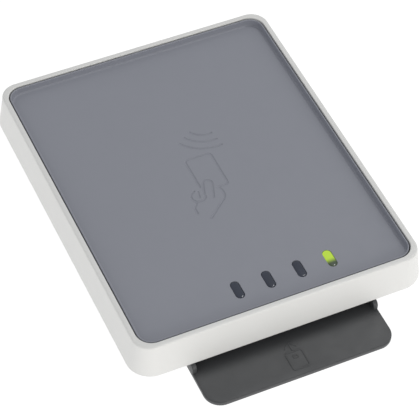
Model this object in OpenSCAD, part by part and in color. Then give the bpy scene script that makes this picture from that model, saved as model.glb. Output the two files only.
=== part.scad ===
// Desktop reader for travel cards: a contactless pad on top, a contact card slot below it.
// X runs across the reader, Y from the tray to the back, Z up from the table it stands on.

/* [Housing] */
// Width across the shell's bottom edge
case_w = 90; // [86:0.5:120]
// Depth across the shell's bottom edge, without the card tray
case_d = 110.6; // [108:0.2:150]
// Height of the shell from its bottom edge to the rim
shell_h = 11.1; // [10.6:0.1:18]
// Outward lean of each shell wall from rim to bottom edge
wall_flare = 1.55; // [0.5:0.05:2.5]
// Width of the flat rim round the panel
rim_w = 1.55; // [1.2:0.05:2.5]
// Corner radius of the shell at its bottom edge
corner_r = 7.1; // [6:0.1:12]
// Corner radius of the shell at the rim
rim_r = 5.2; // [4:0.1:9]
// Corner radius of the opening inside the rim
opening_r = 4.8; // [3:0.1:8]
// Thickness of the ledge that carries the panel
ledge_t = 1.5; // [1:0.1:2.5]
// How far that ledge reaches inwards
ledge_w = 2.5; // [1.5:0.1:4]

/* [Top panel] */
// Depth of the panel's face below the rim
dish_depth = 2.3; // [1:0.1:3]
// Thickness of the panel
panel_t = 1.8; // [1.2:0.1:2.5]
// Thickness of the panel's upturned edge at its foot
lip_t = 0.7; // [0.5:0.1:2]
// Thickness of that edge at its top
lip_top_t = 0.4; // [0.3:0.05:0.8]
// How far that edge stays below the rim
lip_drop = 0.3; // [0:0.05:1]
// Gap between the panel and the shell all round
panel_gap = 0.4; // [0.1:0.05:0.5]
// Width of the hooks that snap under the ledge
hook_w = 6; // [3:0.5:10]
// Depth of the engraved pictogram
engrave_depth = 0.35; // [0.1:0.05:0.8]
// Width of the engraved line
engrave_w = 0.7; // [0.3:0.05:1]

/* [Status lights] */
// Number of light windows
window_n = 4; // [2:1:5]
// Width of a light window
window_w = 2.7; // [2:0.1:4]
// Length of a light window
window_l = 6.3; // [4:0.1:7]
// Distance between light windows
window_pitch = 9.55; // [7:0.05:12]
// Distance from the panel opening's front edge to the windows' centres
window_inset = 9.4; // [8:0.1:14]
// Gap round each light pipe in its window
pipe_gap = 0.05; // [0.02:0.01:0.2]

/* [Card tray and slot] */
// Width of the card
card_w = 53.98; // [40:0.01:66]
// Thickness of the card
card_t = 0.76; // [0.5:0.01:1]
// Play between the card and the two guides together
card_play = 0.6; // [0.3:0.1:1.5]
// Thickness of each guide and tray cheek
cheek_t = 1.4; // [0.8:0.1:2.5]
// How far the tray stands out in front of the shell
tray_reach = 13.4; // [8:0.1:25]
// Radius of the tray's front corners
tray_r = 5; // [2:0.1:10]
// Height of the card mouth under the shell's edge
mouth_h = 2.9; // [2.2:0.1:5]
// How far the cheeks stand out in front of the shell
cheek_reach = 1.2; // [0.5:0.1:4]
// How far the card goes in past the shell's front edge
card_depth = 50; // [45:0.5:55]
// Height of the card channel under the contacts
channel_h = 1.2; // [1:0.1:1.6]

/* [Base cover] */
// Height of the feet below the base
foot_proud = 1.2; // [0.8:0.1:3]
// Diameter of the feet
foot_d = 9; // [6:0.5:10]
// Depth of the pocket that each foot is glued in
foot_pocket = 0.5; // [0.3:0.1:0.8]
// Thickness of the base floor and of the tray
floor_t = 1.5; // [1.2:0.1:2.5]
// How far the base's underside is set in from the shell's bottom edge
base_inset = 6; // [4.5:0.1:7]
// Thickness of the base's side walls
base_wall = 1.6; // [1.2:0.1:2.2]
// How far the base wall stands up inside the shell
spigot_h = 3; // [2:0.1:4]
// Gap between the base wall and the shell
spigot_gap = 0.15; // [0.05:0.05:0.4]
// Diameter of the screw posts
post_d = 6.5; // [5:0.1:8]
// Distance of the screw posts from the shell's bottom edge, across and along
post_inset = 9.8; // [9.6:0.1:12]
// Shank diameter of the case screws
case_screw_d = 2.5; // [2:0.1:3]
// Head diameter of the case screws
case_head_d = 4.6; // [4:0.1:5.5]
// Head height of the case screws
case_head_h = 1.6; // [1:0.1:2]

/* [Boards] */
// Thickness of the main board
pcb_t = 1.6; // [1:0.1:2]
// Gap between the main board and the base walls at its sides
pcb_side_gap = 5.15; // [3:0.05:8]
// Thickness of the antenna board
antenna_t = 0.8; // [0.6:0.1:1.2]
// Width of the antenna board
antenna_w = 66; // [50:1:70]
// Depth of the antenna board
antenna_d = 70; // [50:1:72]
// Number of turns of the antenna coil
coil_turns = 4; // [2:1:6]
// Distance between turns of the antenna coil
coil_pitch = 1.6; // [1.2:0.1:2.5]
// Width of one track of the antenna coil
coil_track = 0.8; // [0.4:0.1:1]
// Thickness of the tape between the antenna board and the panel
tape_t = 0.3; // [0.2:0.1:0.6]

/* [Contacts] */
// Height of the card connector's frame
connector_h = 3.1; // [2.8:0.1:4]
// Distance between neighbouring contacts
contact_pitch = 2.54; // [2.54:0.01:2.54]
// Width of a contact spring
contact_w = 1.2; // [0.8:0.1:1.4]
// Length of a contact spring from its root to where it touches
contact_l = 6; // [5:0.1:7]
// Thickness of the spring strip
strip_t = 0.2; // [0.1:0.05:0.3]
// Diameter of the card switch's pin
switch_pin_d = 1; // [0.8:0.1:1.2]
// Running clearance of the switch lever on its pin, on the radius
pin_clearance = 0.03; // [0.01:0.01:0.1]

/* [Security module hatch] */
// Width of the sliding hatch between its tongues
hatch_w = 22; // [19:0.5:26]
// Length of the sliding hatch
hatch_l = 40; // [34:0.5:44]
// Thickness of the hatch
hatch_t = 0.9; // [0.8:0.1:1]
// Width of each tongue that runs in the base
tongue_w = 1; // [0.6:0.1:1.5]
// Gap round the hatch in its pocket
hatch_gap = 0.1; // [0.05:0.05:0.3]

/* [Cable socket] */
// Width of the socket's metal shell
usb_w = 7.5; // [7:0.1:9]
// Height of the socket's metal shell
usb_h = 2.5; // [2.3:0.1:3]
// Length of the socket's metal shell
usb_l = 5.6; // [5:0.1:7]
// Wall of the socket's metal shell
usb_wall = 0.3; // [0.2:0.05:0.5]
// Gap round the socket in the shell's back wall
port_gap = 0.4; // [0.2:0.1:1]
// Width of the recess that takes a plug's grip
port_w = 12; // [10:0.5:16]
// Height of that recess
port_h = 7.6; // [6:0.1:8]

/* [Hidden] */

$fn = 48;
hull_fn = 32;   // facets of the corners that a hull rounds
skin = 0.01;    // thickness of the slices that a hull joins
over = 1;       // how far a cut runs past the face it opens

// Places along Y, with the origin under the middle of shell and tray together.
total_d = case_d + tray_reach;
tray_front = -total_d / 2;
case_front = tray_front + tray_reach;
case_back = total_d / 2;
mid_y = (case_front + case_back) / 2;

// Heights, from the table up.
base_z = foot_proud;
floor_z = base_z + floor_t;
shell_z = floor_z + mouth_h;
spigot_z = shell_z + spigot_h;
rim_z = shell_z + shell_h;
panel_z = rim_z - dish_depth;
panel_under_z = panel_z - panel_t;
ledge_z = panel_under_z - ledge_t;
connector_z = floor_z + channel_h;
pcb_z = connector_z + connector_h;
pcb_top_z = pcb_z + pcb_t;
antenna_z = panel_under_z - tape_t - antenna_t;

// Outlines of the housing.
rim_out_w = case_w - 2 * wall_flare;
rim_out_d = case_d - 2 * wall_flare;
opening_w = rim_out_w - 2 * rim_w;
opening_d = rim_out_d - 2 * rim_w;
spigot_w = opening_w - 2 * spigot_gap;
spigot_d = opening_d - 2 * spigot_gap;
spigot_r = opening_r - spigot_gap;
base_w = case_w - 2 * base_inset;
base_d = case_d - 2 * base_inset;
base_r = 4;
inner_r = 3;

// Screw posts, feet and board screws, as distances from the middle.
post_x = case_w / 2 - post_inset;
post_y = case_d / 2 - post_inset;
screw_gap = 0.1;
head_pocket_h = 2.6;
case_screw_l = 8;
foot_from_post = [5.2, 9.5];
foot_x = post_x - foot_from_post.x;
foot_y = post_y - foot_from_post.y;
pcb_screw_from_edge = 3.5;
pcb_screw_from_post = 15.5;
pcb_screw_x = spigot_w / 2 - base_wall - pcb_side_gap - pcb_screw_from_edge;
pcb_screw_y = post_y - pcb_screw_from_post;
pcb_screw_d = 2;
pcb_post_d = 5;
pcb_screw_l = 5;
pcb_head_d = 3.6;
pcb_head_h = 1.3;

// Main board, and the places of its parts from the middle of the housing.
pcb_w = spigot_w - 2 * base_wall - 2 * pcb_side_gap;
pcb_back_gap = 0.5;
pcb_front_gap = 5;
pcb_back = mid_y + spigot_d / 2 - base_wall - pcb_back_gap;
pcb_front = mid_y - spigot_d / 2 + base_wall + pcb_front_gap;
controller_at = [-4, 0];
rf_chip_at = [-16, 15];
crystal_at = [7, 9];
capacitors_at = [-14, 22];
capacitor_pitch = 4;
inductors_at = [-24, 15];
inductor_pitch = 4;
buzzer_at = [21, -8];

// Panel.
panel_w = opening_w - 2 * panel_gap;
panel_d = opening_d - 2 * panel_gap;
panel_r = opening_r - panel_gap;
lip_h = dish_depth - lip_drop;
hook_t = 1.2;
hook_l = 2.3;
barb = 0.5;
barb_h = 0.6;
hook_gap = 0.1;

// Light windows.
window_y = mid_y - opening_d / 2 + window_inset;
windows_shift = 0.4;   // the second window stands this far right of the middle
window_x0 = windows_shift - window_pitch;
led_h = 1;
led_w = 2;
led_d = 1.25;
led_offset = 1;      // the lamps sit behind the middle of their windows
led_gap = 0.3;
flange_w = 0.8;
flange_t = 1;

// Antenna: its board lies between the lights and the screw posts at the back.
antenna_y = (window_y + window_l / 2 + mid_y + post_y - post_d / 2) / 2;
coil_t = 0.1;
coil_margin = 2;
header_n = 4;
header_pitch = 2.54;
header_y = antenna_y - 4;
header_x = -antenna_w / 2 + coil_margin + coil_pitch * coil_turns + 4;

// Card channel and tray.
channel_w = card_w + card_play;
tray_w = channel_w + 2 * cheek_t;
card_tip_y = case_front + card_depth;
guide_h = channel_h + 1;
icon_h = 0.2;
icon_line = 0.45;

// Card connector. The contact rows are at the card standard's distances from the card's tip.
frame_gap = 0.2;
frame_over_card = 29.4;
frame_behind_card = 6.6;
frame_front = card_tip_y - frame_over_card;
frame_back = card_tip_y + frame_behind_card;
rear_row_from_tip = 11.25;
front_row_from_tip = 18.87;
rear_row_y = card_tip_y - rear_row_from_tip;
front_row_y = card_tip_y - front_row_from_tip;
contacts_x = 3.1;
contact_drop = 1.8;
root_above_channel = 1.1;
root_z = connector_z + root_above_channel;
spring_gap = 0.3;
stop_t = 2;
stop_gap = 0.1;

// Card switch.
switch_x = -12.2;
switch_behind_card = 0.45;
switch_below_board = 1.1;
switch_y = card_tip_y + switch_behind_card;
switch_z = pcb_z - switch_below_board;
lever_w = 1.6;
hub_d = 1.9;
switch_slot_w = 3.6;
wire_d = 0.25;

// Security module and its hatch.
sam_w = 15;
sam_l = 25;
sam_from_back = 30;
sam_y = case_back - sam_from_back;
sam_frame_w = 19;
sam_frame_l = 30;
sam_h = 2.4;
hatch_back = case_back - base_inset;
hatch_front = hatch_back - hatch_l;
hatch_pocket_h = hatch_t + hatch_gap;
tongue_t = 0.4;
surround_w = 3;
surround_t = 0.8;

// Cable socket.
usb_z = pcb_top_z;
usb_proud = 0.6;       // the socket's mouth stands this far into the back wall
port_floor_gap = 0.4;
usb_face_y = mid_y + opening_d / 2 + usb_proud;
port_floor_y = usb_face_y + port_floor_gap;
port_r = 1.2;

// Label on the underside.
label_w = 44;
label_d = 18;
label_t = 0.15;
label_from_middle = 30;
label_y = mid_y - label_from_middle;

// ---- Shapes used by several pieces ----

// Flat rounded rectangle about the origin.
module rounded(w, d, r) {
    square([w - 2 * r, d], center = true);
    square([w, d - 2 * r], center = true);
    for (x = [-1, 1], y = [-1, 1])
        translate([x * (w / 2 - r), y * (d / 2 - r)]) circle(r);
}

// Upright prism of a rounded rectangle, centred on the housing.
module slab(w, d, r, z0, z1) {
    translate([0, mid_y, z0]) linear_extrude(z1 - z0) rounded(w, d, r);
}

// Solid whose outline changes evenly from one rounded rectangle to another.
module tapered(w0, d0, r0, z0, w1, d1, r1, z1) {
    hull() {
        slab(w0, d0, r0, z0, z0 + skin, $fn = hull_fn);
        slab(w1, d1, r1, z1 - skin, z1, $fn = hull_fn);
    }
}

// Box from x0, y0, z0 to x1, y1, z1.
module block(x0, y0, z0, x1, y1, z1) {
    translate([x0, y0, z0]) cube([x1 - x0, y1 - y0, z1 - z0]);
}

// Upright obround with its long axis along Y.
module obround(w, l, z0, z1) {
    translate([0, 0, z0]) linear_extrude(z1 - z0) {
        square([w, l - w], center = true);
        for (y = [-1, 1]) translate([0, y * (l - w) / 2]) circle(d = w);
    }
}

// Straight round-ended line of a drawing.
module stroke(p, q, w) {
    run = q - p;
    translate(p) rotate(atan2(run.y, run.x)) {
        translate([0, -w / 2]) square([norm(run), w]);
        for (end = [0, norm(run)]) translate([end, 0]) circle(d = w, $fn = 24);
    }
}

// Arc of a drawing between two angles, with square ends.
module arc(centre, r, from, to, w) {
    reach = 3 * (r + w);
    third = (to - from) / 3;
    translate(centre) intersection() {
        difference() {
            circle(r + w / 2);
            circle(r - w / 2);
        }
        polygon([[0, 0], for (i = [0 : 3]) reach * [cos(from + i * third), sin(from + i * third)]]);
    }
}

// Outline of a small card.
module card_outline(w, d, r, line) {
    difference() {
        rounded(w, d, r);
        rounded(w - 2 * line, d - 2 * line, r - line / 2);
    }
}

// Places its children at the four corners of a rectangle about the housing's middle.
module at_corners(x, y) {
    for (sx = [-1, 1], sy = [-1, 1]) translate([sx * x, mid_y + sy * y, 0]) children();
}

// ---- Housing ----

module upper_shell() {
    color("white") difference() {
        union() {
            difference() {
                tapered(case_w, case_d, corner_r, shell_z, rim_out_w, rim_out_d, rim_r, rim_z);
                slab(opening_w, opening_d, opening_r, shell_z - over, rim_z + over);
            }
            panel_ledge();
            at_corners(post_x, post_y)
                translate([0, 0, spigot_z]) cylinder(d = post_d, h = panel_under_z - spigot_z);
        }
        at_corners(post_x, post_y)
            translate([0, 0, spigot_z - over])
                cylinder(d = case_screw_d, h = case_screw_l - head_pocket_h + over, $fn = 32);
        cable_port();
    }
}

// Ring that the panel rests on, with a web across each corner to its screw post.
module panel_ledge() {
    difference() {
        slab(opening_w + rim_w, opening_d + rim_w, opening_r, ledge_z, panel_under_z);
        difference() {
            slab(opening_w - 2 * ledge_w, opening_d - 2 * ledge_w, opening_r - 1,
                 ledge_z - over, panel_under_z + over);
            at_corners(post_x + post_d / 2, post_y + post_d / 2)
                translate([0, 0, ledge_z - over])
                    cylinder(r = post_d, h = ledge_t + 2 * over);
        }
    }
}

// Opening in the back wall: a close window round the socket and a recess for the plug's grip.
module cable_port() {
    middle_z = usb_z + usb_h / 2;
    translate([0, mid_y, middle_z]) rotate([-90, 0, 0]) {
        linear_extrude(case_d / 2 + over) rounded(usb_w + 2 * port_gap, usb_h + 2 * port_gap, port_gap);
        translate([0, 0, port_floor_y - mid_y]) linear_extrude(case_d / 2) rounded(port_w, port_h, port_r);
    }
}

module base_cover() {
    color("dimgray") difference() {
        union() {
            base_shell();
            tray();
            at_corners(post_x, post_y)
                translate([0, 0, base_z]) cylinder(d = post_d, h = spigot_z - base_z - screw_gap);
            at_corners(pcb_screw_x, pcb_screw_y)
                translate([0, 0, base_z]) cylinder(d = pcb_post_d, h = pcb_z - base_z);
            block(-hatch_w / 2 - tongue_w - surround_w, hatch_front - surround_w, floor_z - skin,
                  hatch_w / 2 + tongue_w + surround_w, hatch_back - base_wall, floor_z + surround_t);
        }
        at_corners(post_x, post_y) {
            translate([0, 0, base_z - over])
                cylinder(d = case_head_d + 2 * screw_gap, h = head_pocket_h + over, $fn = 32);
            cylinder(d = case_screw_d + 2 * screw_gap, h = spigot_z, $fn = 32);
        }
        at_corners(pcb_screw_x, pcb_screw_y)
            translate([0, 0, pcb_z - pcb_screw_l + pcb_t])
                cylinder(d = pcb_screw_d, h = pcb_screw_l, $fn = 32);
        at_corners(foot_x, foot_y)
            translate([0, 0, base_z - over]) cylinder(d = foot_d + 2 * screw_gap, h = foot_pocket + over);
        hatch_pocket();
        translate([0, label_y, base_z - over]) linear_extrude(label_t + over)
            rounded(label_w + 2 * screw_gap, label_d + 2 * screw_gap, 1);
    }
}

// Floor and walls of the base: set in below the shell's edge, upright inside the shell.
module base_shell() {
    inner_w = spigot_w - 2 * base_wall;
    inner_d = spigot_d - 2 * base_wall;
    difference() {
        union() {
            tapered(base_w, base_d, base_r, base_z, spigot_w, spigot_d, spigot_r, shell_z);
            slab(spigot_w, spigot_d, spigot_r, shell_z - skin, spigot_z);
        }
        tapered(base_w - 2 * base_wall, base_d - 2 * base_wall, inner_r, floor_z,
                inner_w, inner_d, inner_r, shell_z);
        slab(inner_w, inner_d, inner_r, shell_z - 2 * skin, spigot_z + over);
        block(-channel_w / 2, case_front, floor_z, channel_w / 2, case_front + 2 * base_inset, shell_z);
    }
}

// Tray in front of the slot, its cheeks, and the guides that carry on inside.
module tray() {
    inside_y = case_front + 2 * base_inset;
    translate([0, 0, base_z]) linear_extrude(floor_t) {
        translate([-tray_w / 2, tray_front + tray_r]) square([tray_w, inside_y - tray_front - tray_r]);
        translate([-tray_w / 2 + tray_r, tray_front]) square([tray_w - 2 * tray_r, tray_r]);
        for (side = [-1, 1])
            translate([side * (tray_w / 2 - tray_r), tray_front + tray_r]) circle(tray_r);
    }
    for (side = [-1, 1]) {
        inner_x = side > 0 ? channel_w / 2 : -tray_w / 2;
        translate([inner_x, 0, 0]) cheek();
        block(inner_x, inside_y - over, floor_z - skin,
              inner_x + cheek_t, card_tip_y + stop_t, floor_z + guide_h);
    }
    translate([0, tray_front, floor_z - skin]) linear_extrude(icon_h + skin) tray_icon();
}

// Upright side of the mouth, with a rounded top corner at its front.
module cheek() {
    top_gap = 0.1;
    h = mouth_h - top_gap;
    front = case_front - cheek_reach;
    r = min(h, 1.6);
    block(0, front + r, floor_z - skin, cheek_t, case_front + 2 * base_inset, floor_z + h);
    block(0, front, floor_z - skin, cheek_t, front + r + skin, floor_z + h - r);
    translate([0, front + r, floor_z + h - r]) rotate([0, 90, 0]) cylinder(r = r, h = cheek_t);
}

// Raised drawing on the tray: a card with its chip, and an arrow towards the slot.
module tray_icon() {
    card = [5, 6];
    chip = 1.5;
    card_y = 2.2 + card.y / 2;
    arrow_y = card_y + card.y / 2 + 0.7;
    head = 1.8;
    translate([0, card_y]) card_outline(card.x, card.y, 0.7, icon_line);
    translate([0, card_y + card.y / 2 - 1.7]) square(chip, center = true);
    stroke([0, arrow_y], [0, arrow_y + 2.6], icon_line);
    for (side = [-1, 1]) stroke([side * head, arrow_y + 2.6 - head], [0, arrow_y + 2.6], icon_line);
}

// Pocket and grooves of the sliding hatch, open at the back, with the window to the module.
module hatch_pocket() {
    half = hatch_w / 2 + hatch_gap;
    top = base_z + hatch_pocket_h;
    block(-half, hatch_front - hatch_gap, base_z - over, half, case_back, top);
    block(-half - tongue_w, hatch_front - hatch_gap, top - tongue_t - 2 * hatch_gap,
          half + tongue_w, case_back, top);
    block(-sam_w / 2 - 1, sam_y - sam_l / 2 - 1, base_z, sam_w / 2 + 1, sam_y + sam_l / 2 + 1, shell_z);
}

module sam_hatch() {
    z0 = base_z + hatch_gap / 2;
    grip_n = 5;
    grip_pitch = 1.8;
    color("dimgray") difference() {
        union() {
            block(-hatch_w / 2, hatch_front, z0, hatch_w / 2, hatch_back, z0 + hatch_t);
            block(-hatch_w / 2 - tongue_w, hatch_front, z0 + hatch_t - tongue_t,
                  hatch_w / 2 + tongue_w, hatch_back - base_wall, z0 + hatch_t);
        }
        for (i = [0 : grip_n - 1])
            block(-hatch_w / 4, hatch_back - 4 - i * grip_pitch, base_z - over,
                  hatch_w / 4, hatch_back - 3.2 - i * grip_pitch, base_z + 0.4);
    }
}

module rubber_feet() {
    color("#202020") at_corners(foot_x, foot_y) cylinder(d = foot_d, h = foot_proud + foot_pocket);
}

module rating_label() {
    color("silver") translate([0, label_y, base_z]) linear_extrude(label_t) rounded(label_w, label_d, 1);
}

module case_screws() {
    head_top = base_z + head_pocket_h;
    color("gray") at_corners(post_x, post_y) difference() {
        union() {
            translate([0, 0, head_top - case_head_h]) cylinder(d = case_head_d, h = case_head_h);
            translate([0, 0, head_top - skin]) cylinder(d = case_screw_d, h = case_screw_l, $fn = 32);
        }
        cross_recess(head_top - case_head_h, 1);
    }
}

module pcb_screws() {
    color("silver") at_corners(pcb_screw_x, pcb_screw_y) difference() {
        union() {
            translate([0, 0, pcb_top_z]) cylinder(d = pcb_head_d, h = pcb_head_h);
            translate([0, 0, pcb_top_z + skin - pcb_screw_l + pcb_t])
                cylinder(d = pcb_screw_d, h = pcb_screw_l - pcb_t, $fn = 32);
        }
        cross_recess(pcb_top_z + pcb_head_h - 0.7, 0.7 + over);
    }
}

// Crossed slots of a screw head, from height z up by h.
module cross_recess(z, h) {
    for (turn = [0, 90]) rotate(turn) translate([-1.2, -0.3, z - skin]) cube([2.4, 0.6, h]);
}

// ---- Panel and lights ----

module top_panel() {
    color("slategray") difference() {
        union() {
            slab(panel_w, panel_d, panel_r, panel_under_z, panel_z + lip_h);
            panel_hooks();
        }
        tapered(panel_w - 2 * lip_t, panel_d - 2 * lip_t, panel_r - lip_t, panel_z,
                panel_w - 2 * lip_top_t, panel_d - 2 * lip_top_t, panel_r - lip_top_t,
                panel_z + lip_h + skin);
        for (i = [0 : window_n - 1])
            translate([window_x0 + i * window_pitch, window_y, 0])
                obround(window_w, window_l, panel_under_z - over, panel_z + over);
        translate([0, mid_y, panel_z - engrave_depth]) linear_extrude(engrave_depth + over) pictogram();
    }
}

// Hooks under the panel that snap below the ledge, two on each side.
module panel_hooks() {
    side_x = opening_w / 2 - ledge_w - hook_gap;
    end_y = opening_d / 2 - ledge_w - hook_gap;
    for (turn = [0, 180], place = [-20, 20])
        translate([0, mid_y, 0]) rotate(turn) translate([side_x, place, 0]) panel_hook();
    for (turn = [90, 270], place = [-27, 27])
        translate([0, mid_y, 0]) rotate(turn) translate([end_y, place, 0]) panel_hook();
}

// One hook with its barb pointing along X.
module panel_hook() {
    tip_z = panel_under_z - hook_l;
    block(-hook_t, -hook_w / 2, tip_z, 0, hook_w / 2, panel_under_z + skin);
    translate([-skin, hook_w / 2, tip_z]) rotate([90, 0, 0])
        linear_extrude(hook_w) polygon([[0, 0], [barb, barb_h - 0.2], [barb, barb_h], [0, barb_h]]);
}

// Plain drawing of a hand that holds a card up to three waves.
module pictogram() {
    w = engrave_w;
    wave_axis = 246;
    wave_half = 33;
    for (i = [0 : 2])
        arc([7.9, 20], 5.95 + 2.75 * i, wave_axis - wave_half, wave_axis + wave_half, w);
    difference() {
        translate([1, 0.45]) card_outline(8.5, 13.3, 1, w);
        translate([-4.3, -7.5]) square([5.9, 3.2]);
    }
    // Thumb across the card's corner: a round tip and two sides that run on into the hand.
    tip = [-0.5, -3.7];
    r = 1.35;
    lean = 71;
    overlap = 0.1;
    arc(tip, r, lean - 90, lean + 90, w);
    for (side = [-1, 1]) {
        length = side < 0 ? 5.2 : 3.1;
        translate(tip) rotate(lean) translate([-length, side * r - w / 2]) square([length + overlap, w]);
    }
    // Folded fingers with one fold between them, then the two sides of the wrist.
    arc([-5, -7.1], 2.1, 100, 345, w);
    stroke([-4.4, -5.6], [-5, -7.6], w);
    stroke([-6.6, -9.1], [-7.9, -10.9], w);
    stroke([-7.9, -10.9], [-7.8, -13.1], w);
    arc([-1.2, -8.4], 3.6, -44, 35, w);
    stroke([1.3, -10.99], [-4.9, -16.1], w);
}

module light_pipe(i) {
    if (i < window_n) translate([window_x0 + i * window_pitch, window_y, 0]) {
        w = window_w - 2 * pipe_gap;
        l = window_l - 2 * pipe_gap;
        obround(w, l, pcb_top_z + led_h + led_gap, panel_z - pipe_gap);
        obround(w + 2 * flange_w, l + 2 * flange_w, panel_under_z - flange_t, panel_under_z);
    }
}

module light_pipe_1() { color("#464b58") light_pipe(0); }
module light_pipe_2() { color("#464b58") light_pipe(1); }
module light_pipe_3() { color("#464b58") light_pipe(2); }
module light_pipe_4() { color("#b9e132") light_pipe(3); }

// Black block that keeps the light of each lamp in its own pipe.
module light_shroud() {
    wall = flange_w + 0.2;
    half_l = window_l / 2 + wall;
    last_x = window_x0 + (window_n - 1) * window_pitch;
    color("#181818") difference() {
        block(window_x0 - window_w / 2 - wall, window_y - half_l, pcb_top_z,
              last_x + window_w / 2 + wall, window_y + half_l, panel_under_z - flange_t);
        for (i = [0 : window_n - 1])
            translate([window_x0 + i * window_pitch, window_y, 0])
                obround(window_w, window_l, pcb_top_z - over, panel_z);
    }
}

module status_leds() {
    color("white") for (i = [0 : window_n - 1])
        translate([window_x0 + i * window_pitch, window_y + led_offset, pcb_top_z]) {
            translate([-led_w / 2, -led_d / 2, 0]) cube([led_w, led_d, led_h * 0.6]);
            translate([0, 0, led_h * 0.6 - skin]) cylinder(d = led_d * 0.8, h = led_h * 0.4);
        }
}

// ---- Antenna ----

module panel_tape() {
    strip_w = 6;
    color("#303030") for (side = [-1, 1])
        translate([side * (antenna_w / 2 - strip_w / 2), antenna_y, panel_under_z - tape_t / 2])
            cube([strip_w, antenna_d - 4, tape_t], center = true);
}

module antenna_board() {
    color("darkgreen") translate([0, antenna_y, antenna_z])
        linear_extrude(antenna_t) rounded(antenna_w, antenna_d, 2);
}

// Corner k of the coil's square spiral, four corners a turn. The last corner of a turn is
// already drawn in by one pitch, so that the next turn runs inside this one.
function coil_corner(k) =
    let (inset = coil_margin + floor(k / 4) * coil_pitch)
    let (left_inset = coil_margin + floor((k + 1) / 4) * coil_pitch)
    let (left = k % 4 == 0 || k % 4 == 3)
    let (front = k % 4 < 2)
    [left ? left_inset - antenna_w / 2 : antenna_w / 2 - inset,
     front ? inset - antenna_d / 2 : antenna_d / 2 - inset];

module antenna_coil() {
    color("#b87333") translate([0, antenna_y, antenna_z - coil_t]) linear_extrude(coil_t)
        for (k = [0 : 4 * coil_turns - 2]) stroke(coil_corner(k), coil_corner(k + 1), coil_track);
}

module board_header() {
    l = header_n * header_pitch;
    color("#181818") difference() {
        block(header_x - header_pitch / 2, header_y - l / 2, pcb_top_z,
              header_x + header_pitch / 2, header_y + l / 2, antenna_z);
        header_places() cylinder(d = 0.8, h = rim_z, $fn = 16);
    }
}

module header_pins() {
    color("gold") header_places()
        translate([0, 0, pcb_top_z]) cylinder(d = 0.8, h = antenna_z - pcb_top_z, $fn = 16);
}

module header_places() {
    for (i = [0 : header_n - 1])
        translate([header_x, header_y + (i - (header_n - 1) / 2) * header_pitch, 0]) children();
}

// ---- Main board ----

module main_pcb() {
    color("darkgreen") difference() {
        block(-pcb_w / 2, pcb_front, pcb_z, pcb_w / 2, pcb_back, pcb_top_z);
        at_corners(post_x, post_y) cylinder(d = post_d + 1.4, h = rim_z);
        at_corners(pcb_screw_x, pcb_screw_y) cylinder(d = pcb_screw_d + 2 * screw_gap, h = rim_z, $fn = 32);
    }
}

module controller_chip() {
    body = 10;
    lead_n = 11;
    lead_pitch = 0.8;
    body_h = 1.4;
    standoff = 0.1;
    color("#202020") translate([controller_at.x, mid_y + controller_at.y, pcb_top_z]) {
        translate([0, 0, body_h / 2 + standoff]) cube([body, body, body_h], center = true);
        for (turn = [0 : 90 : 270], i = [0 : lead_n - 1]) rotate(turn)
            translate([body / 2 - skin, (i - (lead_n - 1) / 2) * lead_pitch - 0.15, 0])
                cube([1, 0.3, 0.3]);
    }
}

module rf_chip() {
    color("#202020") translate([rf_chip_at.x, mid_y + rf_chip_at.y, pcb_top_z])
        linear_extrude(0.9) square(5, center = true);
}

module crystal() {
    color("silver") translate([crystal_at.x, mid_y + crystal_at.y, pcb_top_z])
        linear_extrude(1) rounded(5, 3.2, 0.4);
}

module capacitors() {
    size = [2, 1.25, 0.8];
    color("#c2a878") for (i = [0 : 5], row = [0, 1])
        translate([capacitors_at.x + i * capacitor_pitch,
                   mid_y + capacitors_at.y + row * capacitor_pitch, pcb_top_z + size.z / 2])
            cube(size, center = true);
}

module inductors() {
    color("#303030") for (side = [-1, 1])
        translate([inductors_at.x, mid_y + inductors_at.y + side * inductor_pitch / 2, pcb_top_z])
            linear_extrude(1.8) rounded(3, 2.5, 0.3);
}

module buzzer() {
    color("#101010") translate([buzzer_at.x, mid_y + buzzer_at.y, pcb_top_z]) difference() {
        linear_extrude(2.5) rounded(9, 9, 1);
        translate([0, 0, 1.5]) cylinder(d = 2.4, h = 2);
    }
}

// ---- Cable socket ----

module usb_shell() {
    translate([0, usb_face_y, usb_z + usb_h / 2]) rotate([90, 0, 0]) color("silver") difference() {
        linear_extrude(usb_l) rounded(usb_w, usb_h, 0.6);
        translate([0, 0, -over]) linear_extrude(usb_l - 1 + over)
            rounded(usb_w - 2 * usb_wall, usb_h - 2 * usb_wall, 0.3);
    }
}

module usb_insulator() {
    color("#181818") block(-1.9, usb_face_y - usb_l + 1, usb_z + usb_h / 2,
                           1.9, usb_face_y - 0.6, usb_z + usb_h / 2 + 0.6);
}

module usb_contacts() {
    color("gold") for (i = [-2 : 2])
        block(i * 0.65 - 0.2, usb_face_y - usb_l + 1, usb_z + usb_h / 2 - 0.15,
              i * 0.65 + 0.2, usb_face_y - 1, usb_z + usb_h / 2);
}

// ---- Card connector ----

module card_connector() {
    half = channel_w / 2 - frame_gap;
    stop_z = floor_z + stop_gap;
    color("#181818") difference() {
        union() {
            block(-half, frame_front, connector_z, half, frame_back, pcb_z);
            block(-half, card_tip_y, stop_z, half, card_tip_y + stop_t, connector_z + skin);
        }
        contact_windows(front_row_y, -1);
        contact_windows(rear_row_y, 1);
        block(switch_x - switch_slot_w / 2, switch_y - 3.4, floor_z,
              switch_x + switch_slot_w / 2, frame_back - 1, pcb_z + over);
        translate([switch_x, switch_y, switch_z]) rotate([0, 90, 0])
            cylinder(d = switch_pin_d, h = switch_slot_w + 2, center = true, $fn = 32);
        // Lead-in for the card under the frame's front edge.
        translate([-half - over, frame_front, connector_z]) rotate([45, 0, 0])
            translate([0, -over, -over]) cube([2 * half + 2 * over, 2 * over, 2 * over]);
    }
}

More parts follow.
